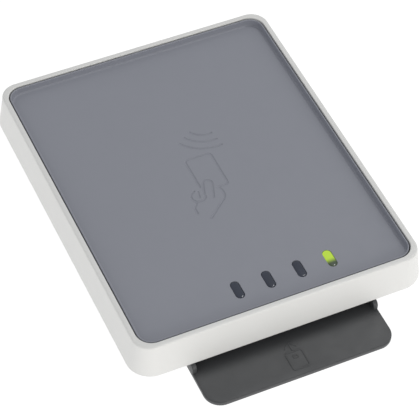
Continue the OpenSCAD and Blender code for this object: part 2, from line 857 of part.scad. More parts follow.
// Places its children at one row of contacts, turned so that +Y points from the root to the tip.
module contact_row(row_y, root_side) {
    for (i = [0 : 3])
        translate([contacts_x + (i - 1.5) * contact_pitch, row_y + root_side * contact_l, root_z])
            rotate(root_side > 0 ? 180 : 0) children();
}

module contact_windows(row_y, root_side) {
    contact_row(row_y, root_side)
        block(-contact_w / 2 - spring_gap, -spring_gap, connector_z - root_z - over,
              contact_w / 2 + spring_gap, contact_l + 2, pcb_z - root_z - 0.5);
}

// Springy strip that slopes down from its root and turns up again past the point of contact.
module contact_spring() {
    tip = 1.2;
    rotate([90, 0, 90]) linear_extrude(contact_w, center = true) polygon([
        [0, 0], [contact_l - 0.4, -contact_drop], [contact_l + 0.4, -contact_drop],
        [contact_l + tip, -contact_drop + 0.8], [contact_l + tip, -contact_drop + 0.8 + strip_t],
        [contact_l + 0.3, -contact_drop + strip_t], [contact_l - 0.3, -contact_drop + strip_t],
        [0, strip_t]
    ]);
}

module contact_row_front() { color("gold") contact_row(front_row_y, -1) contact_spring(); }
module contact_row_rear() { color("gold") contact_row(rear_row_y, 1) contact_spring(); }

// Fixed ends of the contacts: from the frame up to the board, behind each spring's root.
module contact_tails() {
    top_gap = 0.5;
    color("gold") for (row = [[front_row_y, -1], [rear_row_y, 1]]) contact_row(row[0], row[1])
        block(-contact_w / 2, -spring_gap, -strip_t,
              contact_w / 2, -spring_gap + strip_t, pcb_z - root_z - top_gap);
}

// ---- Card switch ----

module switch_lever() {
    color("#303030") translate([switch_x - lever_w / 2 - 0.7, switch_y, switch_z])
        rotate([90, 0, 90]) linear_extrude(lever_w) difference() {
            union() {
                circle(d = hub_d);
                stroke([0, 0], [-1.3, -2.45], 0.6);
                stroke([0, 0], [2.6, -0.9], 0.6);
            }
            circle(r = switch_pin_d / 2 + pin_clearance, $fn = 32);
        }
}

module switch_pin() {
    color("silver") translate([switch_x, switch_y, switch_z]) rotate([0, 90, 0])
        cylinder(d = switch_pin_d, h = switch_slot_w + 2, center = true, $fn = 32);
}

// Small return spring beside the lever: three close coils and a leg.
module switch_spring() {
    r = switch_pin_d / 2 + 0.1 + wire_d / 2;
    color("silver") translate([switch_x + 0.6, switch_y, switch_z]) rotate([0, 90, 0]) {
        for (i = [0 : 2]) translate([0, 0, i * wire_d * 0.9]) rotate_extrude()
            translate([r, 0]) circle(d = wire_d, $fn = 16);
        translate([r, 0, 0]) rotate([-90, 0, 0]) cylinder(d = wire_d, h = 2, $fn = 16);
    }
}

// ---- Security module socket ----

module sam_socket() {
    z0 = pcb_z - sam_h;
    play = 0.2;
    lip = 1;
    color("#181818") translate([0, sam_y, 0]) difference() {
        block(-sam_frame_w / 2, -sam_frame_l / 2, z0, sam_frame_w / 2, sam_frame_l / 2, pcb_z);
        block(-sam_w / 2 - play, -sam_frame_l / 2 - over, z0 + 0.4,
              sam_w / 2 + play, sam_l / 2 + play, z0 + 0.4 + 1);
        block(-sam_w / 2 + lip, -sam_frame_l / 2 - over, z0 - over,
              sam_w / 2 - lip, sam_l / 2 - lip, z0 + 1);
        sam_places() block(-0.9, -0.4, z0 + 1, 0.9, 4.4, pcb_z - 0.5);
    }
}

// Six contacts in two rows that face each other.
module sam_places() {
    for (turn = [0, 180], i = [-1 : 1])
        rotate(turn) translate([i * contact_pitch, 3.6, 0]) children();
}

module sam_contacts() {
    z0 = pcb_z - sam_h + 1.1;
    color("gold") translate([0, sam_y, z0]) sam_places()
        rotate([90, 0, 90]) linear_extrude(contact_w, center = true)
            polygon([[4.4, 0.6], [4.4, 0.8], [0.8, 0.2], [0, 0.4], [0, 0.2], [0.8, 0]]);
}

upper_shell();
top_panel();
light_pipe_1();
light_pipe_2();
light_pipe_3();
light_pipe_4();
light_shroud();
status_leds();
panel_tape();
antenna_board();
antenna_coil();
board_header();
header_pins();
main_pcb();
controller_chip();
rf_chip();
crystal();
capacitors();
inductors();
buzzer();
usb_shell();
usb_insulator();
usb_contacts();
card_connector();
contact_tails();
contact_row_front();
contact_row_rear();
switch_lever();
switch_pin();
switch_spring();
sam_socket();
sam_contacts();
sam_hatch();
base_cover();
rating_label();
rubber_feet();
case_screws();
pcb_screws();
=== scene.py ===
"""Desktop reader for travel cards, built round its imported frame."""

import math

import bmesh
import bpy
from mathutils import Matrix, Vector


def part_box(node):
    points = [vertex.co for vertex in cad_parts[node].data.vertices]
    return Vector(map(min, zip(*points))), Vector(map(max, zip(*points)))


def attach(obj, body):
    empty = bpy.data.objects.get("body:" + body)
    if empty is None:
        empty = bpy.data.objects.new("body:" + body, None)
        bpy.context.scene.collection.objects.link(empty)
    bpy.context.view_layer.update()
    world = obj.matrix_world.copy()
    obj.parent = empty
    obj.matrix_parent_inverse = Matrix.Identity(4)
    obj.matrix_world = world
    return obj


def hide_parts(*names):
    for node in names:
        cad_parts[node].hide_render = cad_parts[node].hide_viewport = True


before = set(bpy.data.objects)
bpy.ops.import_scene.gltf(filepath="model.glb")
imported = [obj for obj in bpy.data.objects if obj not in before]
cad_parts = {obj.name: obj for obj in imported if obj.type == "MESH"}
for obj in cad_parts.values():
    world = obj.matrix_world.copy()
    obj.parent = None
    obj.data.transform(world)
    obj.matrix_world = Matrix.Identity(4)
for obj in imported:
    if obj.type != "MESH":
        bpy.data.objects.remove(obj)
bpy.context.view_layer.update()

# --- Upper shell ---------------------------------------------------------------------------
# White frame moulded in one piece. Its walls lean out towards the bottom edge, and a ledge
# inside carries the top panel. The cable socket looks out of a recess in its back wall.

MM = 0.001
shell_low, shell_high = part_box("upper_shell")
panel_low, panel_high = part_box("top_panel")
middle = (shell_low + shell_high) / 2
shell_z, rim_z = shell_low.z, shell_high.z
wall_flare = 1.55 * MM
panel_gap = 0.4 * MM
opening_w = panel_high.x - panel_low.x + 2 * panel_gap
opening_d = panel_high.y - panel_low.y + 2 * panel_gap
opening_r = 4.8 * MM
lip_drop = 0.3 * MM
dish_depth = 2.3 * MM
panel_t = 1.8 * MM
shell_foot_r, rim_r = 7.1 * MM, 5.2 * MM
ledge_reach = 2.5 * MM
ledge_thick = 1.5 * MM


def rounded_loop(stage, steps=14):
    """Points of a rounded rectangle about the middle, for stage (width, depth, radius, height)."""
    width, depth, radius, height = stage
    points = []
    for sx, sy, start in ((1, 1, 0), (-1, 1, 90), (-1, -1, 180), (1, -1, 270)):
        corner = Vector((sx * (width / 2 - radius), sy * (depth / 2 - radius), 0))
        for i in range(steps + 1):
            turn = math.radians(start + 90 * i / steps)
            spoke = Vector((math.cos(turn), math.sin(turn), 0)) * radius
            points.append(Vector((middle.x, middle.y, height)) + corner + spoke)
    return points


def eased(section, closed):
    """Rounds the corners of a section. Each entry is (stage, radius of the rounding)."""
    stages = []
    hold = 0.12 * MM
    count = len(section)
    for i, (stage, radius) in enumerate(section):
        ends = not closed and i in (0, count - 1)
        if ends or radius == 0:
            stages.append(stage)
            continue
        here = Vector(stage[:2] + stage[3:])
        sides = []
        for other in (section[i - 1][0], section[(i + 1) % count][0]):
            away = Vector(other[:2] + other[3:]) - here
            length = math.hypot(away.x / 2, away.z)
            sides.append((other, min(radius / length, 0.45), min((radius + hold) / length, 0.48)))

        def between(other, share):
            return tuple(a + (b - a) * share for a, b in zip(stage, other))

        stages.append(between(sides[0][0], sides[0][2]))
        for k in range(7):
            t = k / 6
            first = between(sides[0][0], sides[0][1] * (1 - t))
            second = between(sides[1][0], sides[1][1] * t)
            stages.append(tuple(a * (1 - t) + b * t for a, b in zip(first, second)))
        stages.append(between(sides[1][0], sides[1][2]))
    return stages


def lofted(name, section, closed=False):
    """Skin over rounded rectangles: a closed ring, or a solid capped at the first and last one."""
    mesh = bmesh.new()
    rings = [[mesh.verts.new(p) for p in rounded_loop(s)] for s in eased(section, closed)]
    pairs = list(zip(rings, rings[1:])) + ([(rings[-1], rings[0])] if closed else [])
    for lower, upper in pairs:
        for i in range(len(lower)):
            j = (i + 1) % len(lower)
            mesh.faces.new((lower[i], lower[j], upper[j], upper[i]))
    if not closed:
        mesh.faces.new(reversed(rings[0]))
        mesh.faces.new(rings[-1])
    return finished_mesh(name, mesh)


def finished_mesh(name, mesh):
    """Turns a bmesh into an object, with its faces outwards."""
    bmesh.ops.remove_doubles(mesh, verts=mesh.verts, dist=1e-7)
    bmesh.ops.recalc_face_normals(mesh, faces=mesh.faces)
    data = bpy.data.meshes.new(name)
    mesh.to_mesh(data)
    mesh.free()
    piece = bpy.data.objects.new(name, data)
    bpy.context.scene.collection.objects.link(piece)
    return piece


def skinned(name, mesh, rings):
    """Closed solid over rings of vertices that lie one after another, capped at both ends."""
    for a, b in zip(rings, rings[1:]):
        for i in range(len(a)):
            j = (i + 1) % len(a)
            mesh.faces.new((a[i], a[j], b[j], b[i]))
    mesh.faces.new(rings[0])
    mesh.faces.new(rings[-1])
    return finished_mesh(name, mesh)


def box_between(name, low, high):
    """Plain box used to cut or to add to a moulding."""
    mesh = bmesh.new()
    size = Vector(high) - Vector(low)
    place = Matrix.Translation((Vector(low) + Vector(high)) / 2) @ Matrix.Diagonal((*size, 1))
    bmesh.ops.create_cube(mesh, size=1, matrix=place)
    return finished_mesh(name, mesh)


def post_between(name, x, y, radius, z0, z1, sides=40):
    """Upright round post used to cut or to add to a moulding."""
    mesh = bmesh.new()
    place = Matrix.Translation((x, y, (z0 + z1) / 2))
    bmesh.ops.create_cone(mesh, cap_ends=True, segments=sides, radius1=radius, radius2=radius,
                          depth=z1 - z0, matrix=place)
    return finished_mesh(name, mesh)


def combine(piece, others, how):
    """Joins other solids to a piece (UNION) or cuts them out of it (DIFFERENCE)."""
    group = bpy.data.collections.new(piece.name + "_tools")
    for other in others:
        group.objects.link(other)
    step = piece.modifiers.new("solids", "BOOLEAN")
    step.operation = how
    step.solver = "EXACT"
    step.operand_type = "COLLECTION"
    step.collection = group
    step.use_self = True
    bake_modifiers(piece)
    bpy.data.collections.remove(group)
    for other in others:
        bpy.data.objects.remove(other)


def bake_modifiers(piece):
    """Replaces a piece's mesh with the result of its modifiers."""
    bpy.context.view_layer.update()
    shaped = piece.evaluated_get(bpy.context.evaluated_depsgraph_get())
    result = bpy.data.meshes.new_from_object(shaped)
    piece.modifiers.clear()
    piece.data = result


def smooth_faces(piece, angle=32):
    """Smooth shading, crisp where faces meet at more than the angle. Faces of index 1 stay flat."""
    mesh = bmesh.new()
    mesh.from_mesh(piece.data)
    bmesh.ops.remove_doubles(mesh, verts=mesh.verts, dist=2e-7)
    for face in mesh.faces:
        face.smooth = face.material_index == 0
        face.material_index = 0
    for edge in mesh.edges:
        crisp = not edge.is_manifold or edge.calc_face_angle() > math.radians(angle)
        edge.smooth = not crisp
    mesh.to_mesh(piece.data)
    mesh.free()


def moulded_plastic(name, colour, roughness, grain_mm, grain_depth, drift=0.02, coat=0.0):
    """Moulded plastic: a fine spark-eroded grain, slight drift of colour, uneven sheen from handling."""
    material = bpy.data.materials.new(name)
    material.use_nodes = True
    nodes, links = material.node_tree.nodes, material.node_tree.links
    shader = nodes["Principled BSDF"]
    shader.inputs["IOR"].default_value = 1.49
    shader.inputs["Coat Weight"].default_value = coat
    place = nodes.new("ShaderNodeTexCoord")

    def noise(size_mm, detail):
        texture = nodes.new("ShaderNodeTexNoise")
        texture.inputs["Scale"].default_value = 1000 / size_mm
        texture.inputs["Detail"].default_value = detail
        links.new(place.outputs["Object"], texture.inputs["Vector"])
        return texture

    ramp = nodes.new("ShaderNodeValToRGB")
    for element, share in zip(ramp.color_ramp.elements, (1 - drift, 1 + drift)):
        element.color = (*[min(c * share, 1) for c in colour], 1)
    ramp.color_ramp.elements[0].position = 0.3
    ramp.color_ramp.elements[1].position = 0.7
    links.new(noise(9, 4).outputs["Fac"], ramp.inputs["Fac"])
    links.new(ramp.outputs["Color"], shader.inputs["Base Color"])

    sheen = nodes.new("ShaderNodeMapRange")
    sheen.inputs["From Min"].default_value = 0.3
    sheen.inputs["From Max"].default_value = 0.7
    sheen.inputs["To Min"].default_value = roughness - 0.04
    sheen.inputs["To Max"].default_value = roughness + 0.05
    links.new(noise(4, 3).outputs["Fac"], sheen.inputs["Value"])
    links.new(sheen.outputs["Result"], shader.inputs["Roughness"])

    bump = nodes.new("ShaderNodeBump")
    bump.inputs["Strength"].default_value = grain_depth
    bump.inputs["Distance"].default_value = 0.02 * MM
    links.new(noise(grain_mm, 2).outputs["Fac"], bump.inputs["Height"])
    links.new(bump.outputs["Normal"], shader.inputs["Normal"])
    return material


def placed(piece, body, *cad_nodes, material, slot):
    """Gives a finished piece its material and body and hides the nodes it stands for. The slot is not used.
    """
    smooth_faces(piece)
    piece.data.materials.clear()
    piece.data.materials.append(material)
    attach(piece, body)
    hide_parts(*cad_nodes)
    return piece


rim_out_w = shell_high.x - shell_low.x - 2 * wall_flare
rim_out_d = shell_high.y - shell_low.y - 2 * wall_flare
panel_under_z = panel_high.z + lip_drop - dish_depth - panel_t
ledge_w = opening_w - 2 * ledge_reach
ledge_d = opening_d - 2 * ledge_reach
shell = lofted("shell_moulding", [
    ((shell_high.x - shell_low.x, shell_high.y - shell_low.y, shell_foot_r, shell_z), 0.35 * MM),
    ((rim_out_w, rim_out_d, rim_r, rim_z), 0.55 * MM),
    ((opening_w, opening_d, opening_r, rim_z), 0.25 * MM),
    ((opening_w, opening_d, opening_r, panel_under_z), 0),
    ((ledge_w, ledge_d, opening_r - MM, panel_under_z), 0.2 * MM),
    ((ledge_w, ledge_d, opening_r - MM, panel_under_z - ledge_thick), 0.2 * MM),
    ((opening_w, opening_d, opening_r, panel_under_z - ledge_thick), 0),
    ((opening_w, opening_d, opening_r, shell_z), 0.25 * MM),
], closed=True)

# Recess for the plug's grip, and the close window round the metal socket inside it.
socket_low, socket_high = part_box("usb_shell")
socket_mid = (socket_low + socket_high) / 2
port_half_w, port_half_h = 6 * MM, 3.8 * MM
window_gap = 0.4 * MM


def upright_recess(name, half_w, half_h, radius, y0, y1, mouth=0.0):
    """Rounded opening that runs along Y, wider by mouth at its outer end."""
    mesh = bmesh.new()
    rings = []
    for y, spread in ((y0, 0), (y1 - mouth, 0), (y1, mouth), (y1 + MM, mouth)):
        ring = []
        for sx, sz, start in ((1, 1, 0), (-1, 1, 90), (-1, -1, 180), (1, -1, 270)):
            for i in range(9):
                turn = math.radians(start + 90 * i / 8)
                x = sx * (half_w - radius) + (radius + spread) * math.cos(turn)
                z = sz * (half_h - radius) + (radius + spread) * math.sin(turn)
                ring.append(mesh.verts.new((middle.x + x, y, socket_mid.z + z)))
        rings.append(ring)
    return skinned(name, mesh, rings)


port_floor_y = socket_high.y + 0.4 * MM
back_face_y = shell_high.y - wall_flare * (socket_mid.z - shell_z) / (rim_z - shell_z)
combine(shell, [
    upright_recess("port_recess", port_half_w, port_half_h, 1.2 * MM, port_floor_y,
                   back_face_y, mouth=0.35 * MM),
    upright_recess("port_window", (socket_high.x - socket_low.x) / 2 + window_gap,
                   (socket_high.z - socket_low.z) / 2 + window_gap, 0.4 * MM,
                   middle.y, port_floor_y + MM),
], "DIFFERENCE")

# Screw posts and the webs that tie them to the ledge across the corners.
screws_low, screws_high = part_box("case_screws")
head_r = 2.3 * MM
post_x = screws_high.x - head_r
post_y = (screws_high.y - screws_low.y) / 2 - head_r
post_r = 3.25 * MM
spigot_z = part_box("base_cover")[1].z
posts = []
for sx in (-1, 1):
    for sy in (-1, 1):
        x, y = middle.x + sx * post_x, middle.y + sy * post_y
        posts.append(post_between("post", x, y, post_r, spigot_z, panel_under_z - 0.02 * MM))
        x0, x1 = sorted((x, middle.x + sx * (opening_w / 2 - MM)))
        y0, y1 = sorted((y, middle.y + sy * (opening_d / 2 - MM)))
        posts.append(box_between("web", (x0, y0, panel_under_z - ledge_thick + 0.02 * MM),
                                 (x1, y1, panel_under_z - 0.04 * MM)))
combine(shell, posts, "UNION")
shell_white = moulded_plastic("shell_white", (0.81, 0.805, 0.785), 0.42, 0.22, 0.35, drift=0.008)
placed(shell, "housing", "upper_shell", material=shell_white, slot="shell_white")

# --- Top panel -----------------------------------------------------------------------------
# Grey dish moulded in one piece with a low upturned edge. It drops into the white frame and
# snaps under its ledge. The card drawing is engraved, and four slots pass the status lights.

panel_w = panel_high.x - panel_low.x
panel_d = panel_high.y - panel_low.y
panel_r = opening_r - panel_gap
lip_foot, lip_top = 0.7 * MM, 0.4 * MM
dish_z = panel_under_z + panel_t
panel = lofted("panel_moulding", [
    ((panel_w - 8 * MM, panel_d - 8 * MM, MM, panel_under_z), 0),
    ((panel_w, panel_d, panel_r, panel_under_z), 0.2 * MM),
    ((panel_w, panel_d, panel_r, panel_high.z), 0.13 * MM),
    ((panel_w - 2 * lip_top, panel_d - 2 * lip_top, panel_r - lip_top, panel_high.z), 0.16 * MM),
    ((panel_w - 2 * lip_foot, panel_d - 2 * lip_foot, panel_r - lip_foot, dish_z), 0.5 * MM),
    ((panel_w - 8 * MM, panel_d - 8 * MM, MM, dish_z), 0),
])
groove_half, groove_depth = 0.43 * MM, 0.22 * MM
groove_r = (groove_half**2 + groove_depth**2) / (2 * groove_depth)


def arc_path(x, y, radius, start, end, steps=14):
    """Points in millimetres along an arc, between two angles in degrees."""
    turns = (math.radians(start + (end - start) * i / steps) for i in range(steps + 1))
    return [(x + radius * math.cos(t), y + radius * math.sin(t)) for t in turns]


def node_group(name, *inputs):
    """Empty geometry node group with the named inputs, each given as (name, socket kind)."""
    group = bpy.data.node_groups.new(name, "GeometryNodeTree")
    for label, kind in (("Geometry", "Geometry"), *inputs, ("Finish", "Material")):
        group.interface.new_socket(label, in_out="INPUT", socket_type="NodeSocket" + kind)
    group.interface.new_socket("Geometry", in_out="OUTPUT", socket_type="NodeSocketGeometry")
    return group, group.nodes.new("NodeGroupInput"), group.nodes.new("NodeGroupOutput")


def close_group(group, given, out, geometry):
    """Ends a node group in Realize Instances and Set Material."""
    realize = group.nodes.new("GeometryNodeRealizeInstances")
    finish = group.nodes.new("GeometryNodeSetMaterial")
    group.links.new(geometry, realize.inputs["Geometry"])
    group.links.new(realize.outputs["Geometry"], finish.inputs["Geometry"])
    group.links.new(given.outputs["Finish"], finish.inputs["Material"])
    group.links.new(finish.outputs["Geometry"], out.inputs["Geometry"])
    return group


def run_group(piece, group, **values):
    """Runs a node group on a piece with its inputs set by name, and keeps the result as its mesh."""
    step = piece.modifiers.new(group.name, "NODES")
    step.node_group = group
    for item in group.interface.items_tree:
        label = item.name.replace(" ", "_").lower()
        if item.in_out == "INPUT" and label in values:
            step[item.identifier] = values[label]
    bake_modifiers(piece)
    return piece


# Round bar that follows a path. The path's points carry the share of the radius at each place.
bar_group, given, out = node_group("round_bar", ("Radius", "Float"), ("Sides", "Int"))
path_curve = bar_group.nodes.new("GeometryNodeMeshToCurve")
bar_section = bar_group.nodes.new("GeometryNodeCurvePrimitiveCircle")
bar_skin = bar_group.nodes.new("GeometryNodeCurveToMesh")
bar_group.links.new(given.outputs["Geometry"], path_curve.inputs["Mesh"])
bar_group.links.new(given.outputs["Radius"], bar_section.inputs["Radius"])
bar_group.links.new(given.outputs["Sides"], bar_section.inputs["Resolution"])
bar_group.links.new(path_curve.outputs["Curve"], bar_skin.inputs["Curve"])
bar_group.links.new(bar_section.outputs["Curve"], bar_skin.inputs["Profile Curve"])
bar_skin.inputs["Fill Caps"].default_value = True
share = bar_group.nodes.new("GeometryNodeInputNamedAttribute")
share.inputs["Name"].default_value = "share"
bar_group.links.new(share.outputs["Attribute"], bar_skin.inputs["Scale"])
close_group(bar_group, given, out, bar_skin.outputs["Mesh"])


def round_bar(name, points, radius, sides=12, finish=None):
    """Round-ended bar through the points."""
    caps = (math.pi / 3, math.pi / 6, math.pi / 12)
    head = (points[0] - points[1]).normalized()
    tail = (points[-1] - points[-2]).normalized()
    places = [points[0] + head * radius * math.cos(t) for t in reversed(caps)] + points
    places += [points[-1] + tail * radius * math.cos(t) for t in caps]
    shares = [math.sin(t) for t in reversed(caps)] + [1.0] * len(points) + [math.sin(t) for t in caps]
    mesh = bpy.data.meshes.new(name)
    mesh.from_pydata(places, [(i, i + 1) for i in range(len(places) - 1)], [])
    for label in ("share", "radius"):
        field = mesh.attributes.new(label, "FLOAT", "POINT")
        field.data.foreach_set("value", shares)
    bar = bpy.data.objects.new(name, mesh)
    bpy.context.scene.collection.objects.link(bar)
    return run_group(bar, bar_group, radius=radius, sides=sides, finish=finish)


def drawn_line(name, path, radius, height, sides=12):
    """Bar along a flat path in millimetres about the panel's middle, with its faces outwards."""
    points = [Vector((middle.x + x * MM, middle.y + y * MM, height)) for x, y in path]
    bar = round_bar(name, points, radius, sides)
    mesh = bmesh.new()
    mesh.from_mesh(bar.data)
    bmesh.ops.recalc_face_normals(mesh, faces=mesh.faces)
    mesh.to_mesh(bar.data)
    mesh.free()
    return bar


# Three waves, a card with its corner under the thumb, and a plain hand below it.
waves = [arc_path(7.9, 20, 5.95 + 2.75 * i, 213, 279) for i in range(3)]
card = ([(-3.1, -4.2), (-3.1, 0)] + arc_path(-2.1, 5.95, 1, 180, 90, 6) + arc_path(4.1, 5.95, 1, 90, 0, 6)
        + arc_path(4.1, -5.05, 1, 0, -90, 6) + [(1.7, -6.05)])
thumb = [(-2.95, -6.9)] + arc_path(-0.5, -3.7, 1.35, 161, -19, 12) + [(-0.95, -9.1)]
palm = arc_path(-1.2, -8.4, 3.6, 37, -44, 10) + [(-4.9, -16.1)]
fist = arc_path(-5, -7.1, 2.1, 100, 342, 18)
fold = [(-4.4, -5.6), (-4.7, -6.6), (-4.75, -7.7)]
wrist = [(-6.5, -9.4), (-7.8, -10.9), (-7.8, -13.1)]
drawing = waves + [card, thumb, palm, fist, fold, wrist]
groove_z = dish_z + groove_r - groove_depth
cutters = [drawn_line("groove", path, groove_r, groove_z) for path in drawing]

# Slots for the light pipes, with a small lead round each mouth.
pipe_nodes = [f"light_pipe_{n}" for n in (1, 2, 3, 4)]
slot_w, slot_l = 2.7 * MM, 6.3 * MM
slot_lead = 0.1 * MM


def obround(name, x, y, stages, steps=12):
    """Solid of round-ended outlines along Y. Each stage is (width, length, height)."""
    mesh = bmesh.new()
    rings = []
    for width, length, height in stages:
        ring = []
        for end, start in ((1, 0), (-1, 180)):
            for i in range(steps + 1):
                turn = math.radians(start + 180 * i / steps)
                ring.append(mesh.verts.new((
                    x + width / 2 * math.cos(turn),
                    y + end * (length - width) / 2 + width / 2 * math.sin(turn), height)))
        rings.append(ring)
    return skinned(name, mesh, rings)


for node in pipe_nodes:
    low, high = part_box(node)
    cutters.append(obround("slot", (low.x + high.x) / 2, (low.y + high.y) / 2, [
        (slot_w, slot_l, panel_under_z - MM), (slot_w, slot_l, dish_z - slot_lead),
        (slot_w + 2 * slot_lead, slot_l + 2 * slot_lead, dish_z),
        (slot_w + 2 * slot_lead, slot_l + 2 * slot_lead, dish_z + MM)]))
combine(panel, cutters, "DIFFERENCE")
panel_grey = moulded_plastic("panel_grey", (0.283, 0.292, 0.334), 0.5, 0.18, 0.45, drift=0.006)
placed(panel, "housing", "top_panel", material=panel_grey, slot="panel_grey")

# --- Light pipes ---------------------------------------------------------------------------
# Four moulded windows of smoked plastic that carry the lamps' light up to the panel. The
# last one is lit yellow-green, brightest over its lamp and fading towards the front; the
# fading is partly the pipe's own fall-off and partly painted shade of the slot's front wall.


def smoked_window(name, lit):
    """Glossy tinted plastic, with the lamp's light inside it where it is lit; that light fades towards the
    front, partly as painted shade.
    """
    material = moulded_plastic(name, (0.045, 0.052, 0.075), 0.16, 1.2, 0.05, drift=0.1)
    if lit:
        nodes, links = material.node_tree.nodes, material.node_tree.links
        shader = nodes["Principled BSDF"]
        place = nodes.new("ShaderNodeTexCoord")
        axes = nodes.new("ShaderNodeSeparateXYZ")
        links.new(place.outputs["Object"], axes.inputs["Vector"])
        low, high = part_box("light_pipe_4")
        lamp_y = (low.y + high.y) / 2 + MM
        # Lamp light given out by the window, strongest over the lamp. Its fade towards the front is partly
        # the pipe's fall-off and partly painted shade of the slot's front wall.
        lamp_light_and_painted_shade = nodes.new("ShaderNodeMapRange")
        lamp_light_and_painted_shade.interpolation_type = "SMOOTHSTEP"
        lamp_light_and_painted_shade.inputs["From Min"].default_value = lamp_y - 2.9 * MM
        lamp_light_and_painted_shade.inputs["From Max"].default_value = lamp_y - 0.7 * MM
        lamp_light_and_painted_shade.inputs["To Min"].default_value = 0.06
        lamp_light_and_painted_shade.inputs["To Max"].default_value = 0.92
        links.new(axes.outputs["Y"], lamp_light_and_painted_shade.inputs["Value"])
        links.new(lamp_light_and_painted_shade.outputs["Result"], shader.inputs["Emission Strength"])
        shader.inputs["Emission Color"].default_value = (0.46, 0.68, 0.003, 1)
    return material


window_dark = smoked_window("window_dark", lit=False)
window_lit = smoked_window("window_lit", lit=True)
pipe_gap = 0.05 * MM
pipe_w, pipe_l = slot_w - 2 * pipe_gap, slot_l - 2 * pipe_gap
flange = 0.8 * MM
for node in pipe_nodes:
    low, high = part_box(node)
    top = high.z
    lit = node == pipe_nodes[-1]
    pipe = obround("window_" + node[-1], (low.x + high.x) / 2, (low.y + high.y) / 2, [
        (pipe_w, pipe_l, low.z), (pipe_w, pipe_l, panel_under_z - MM),
        (pipe_w + 2 * flange, pipe_l + 2 * flange, panel_under_z - MM),
        (pipe_w + 2 * flange, pipe_l + 2 * flange, panel_under_z - 0.01 * MM),
        (pipe_w, pipe_l, panel_under_z - 0.01 * MM), (pipe_w, pipe_l, top - 0.3 * MM),
        (pipe_w - 0.12 * MM, pipe_l - 0.12 * MM, top - 0.14 * MM),
        (pipe_w - 0.4 * MM, pipe_l - 0.4 * MM, top - 0.04 * MM),
        (pipe_w - 1.2 * MM, pipe_l - 1.2 * MM, top)])
    placed(pipe, "housing", node, material=window_lit if lit else window_dark,
           slot="window_lit" if lit else "window_dark")

# --- Lamps and their shroud -----------------------------------------------------------------
# Four small white surface-mount lamps, soldered to the front of the main board. A black
# moulding round them keeps each lamp's light in its own window.


def cad_copy(name, node):
    """Merged copy of a CAD solid's mesh with its flat faces made whole and marked with index 1."""
    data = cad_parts[node].data.copy()
    data.name = name
    mesh = bmesh.new()
    mesh.from_mesh(data)
    bmesh.ops.remove_doubles(mesh, verts=mesh.verts, dist=2e-6)
    bmesh.ops.dissolve_limit(mesh, angle_limit=math.radians(0.5), verts=mesh.verts, edges=mesh.edges)
    for face in mesh.faces:
        turns = [math.degrees(edge.calc_face_angle()) for edge in face.edges if edge.is_manifold]
        face.material_index = 0 if any(1 < turn < 40 for turn in turns) else 1
    mesh.to_mesh(data)
    mesh.free()
    data.materials.clear()
    for _ in range(2):
        data.materials.append(None)
    piece = bpy.data.objects.new(name, data)
    bpy.context.scene.collection.objects.link(piece)
    return piece


def softened(name, node, width, body, material, slot, segments=3):
    """Piece with the CAD solid's shape and its sharp edges rounded, in place of that node."""
    piece = cad_copy(name, node)
    edge = piece.modifiers.new("edges", "BEVEL")
    edge.width = width
    edge.segments = segments
    edge.limit_method = "ANGLE"
    edge.angle_limit = math.radians(40)
    edge.use_clamp_overlap = True
    edge.material = 0
    bake_modifiers(piece)
    return placed(piece, body, node, material=material, slot=slot)


def metal(name, colour, roughness, streak=1.0, tarnish=0.12):
    """Bare or plated metal: faint tarnish in its colour, fine drawing lines in its sheen."""
    material = bpy.data.materials.new(name)
    material.use_nodes = True
    nodes, links = material.node_tree.nodes, material.node_tree.links
    shader = nodes["Principled BSDF"]
    shader.inputs["Metallic"].default_value = 1.0
    place = nodes.new("ShaderNodeTexCoord")
    lines = nodes.new("ShaderNodeMapping")
    lines.inputs["Scale"].default_value = (1, 1 / (1 + 9 * streak), 1)
    links.new(place.outputs["Object"], lines.inputs["Vector"])
    grain = nodes.new("ShaderNodeTexNoise")
    grain.inputs["Scale"].default_value = 1000 / 0.12
    grain.inputs["Detail"].default_value = 3
    links.new(lines.outputs["Vector"], grain.inputs["Vector"])
    sheen = nodes.new("ShaderNodeMapRange")
    sheen.inputs["From Min"].default_value = 0.3
    sheen.inputs["From Max"].default_value = 0.7
    sheen.inputs["To Min"].default_value = roughness - 0.07
    sheen.inputs["To Max"].default_value = roughness + 0.1
    links.new(grain.outputs["Fac"], sheen.inputs["Value"])
    links.new(sheen.outputs["Result"], shader.inputs["Roughness"])
    stain = nodes.new("ShaderNodeTexNoise")
    stain.inputs["Scale"].default_value = 1000 / 3
    stain.inputs["Detail"].default_value = 4
    links.new(place.outputs["Object"], stain.inputs["Vector"])
    ramp = nodes.new("ShaderNodeValToRGB")
    ramp.color_ramp.elements[0].position = 0.35
    ramp.color_ramp.elements[0].color = (*[c * (1 - tarnish) for c in colour], 1)
    ramp.color_ramp.elements[1].position = 0.65
    ramp.color_ramp.elements[1].color = (*colour, 1)
    links.new(stain.outputs["Fac"], ramp.inputs["Fac"])
    links.new(ramp.outputs["Color"], shader.inputs["Base Color"])
    bump = nodes.new("ShaderNodeBump")
    bump.inputs["Strength"].default_value = 0.15
    bump.inputs["Distance"].default_value = 0.01 * MM
    links.new(grain.outputs["Fac"], bump.inputs["Height"])
    links.new(bump.outputs["Normal"], shader.inputs["Normal"])
    return material


black_plastic = moulded_plastic("black_plastic", (0.012, 0.012, 0.013), 0.5, 0.15, 0.4, drift=0.08)
lamp_white = moulded_plastic("lamp", (0.78, 0.76, 0.66), 0.3, 0.3, 0.1, drift=0.03)
softened("lamp_shroud", "light_shroud", 0.15 * MM, "housing", black_plastic, "black_plastic")
softened("lamps", "status_leds", 0.06 * MM, "housing", lamp_white, "lamp")

# --- Antenna --------------------------------------------------------------------------------
# Thin glass-fibre board under the middle of the panel, held by two strips of foam tape. A
# flat copper coil runs round its edge, and four pins carry it to the main board.


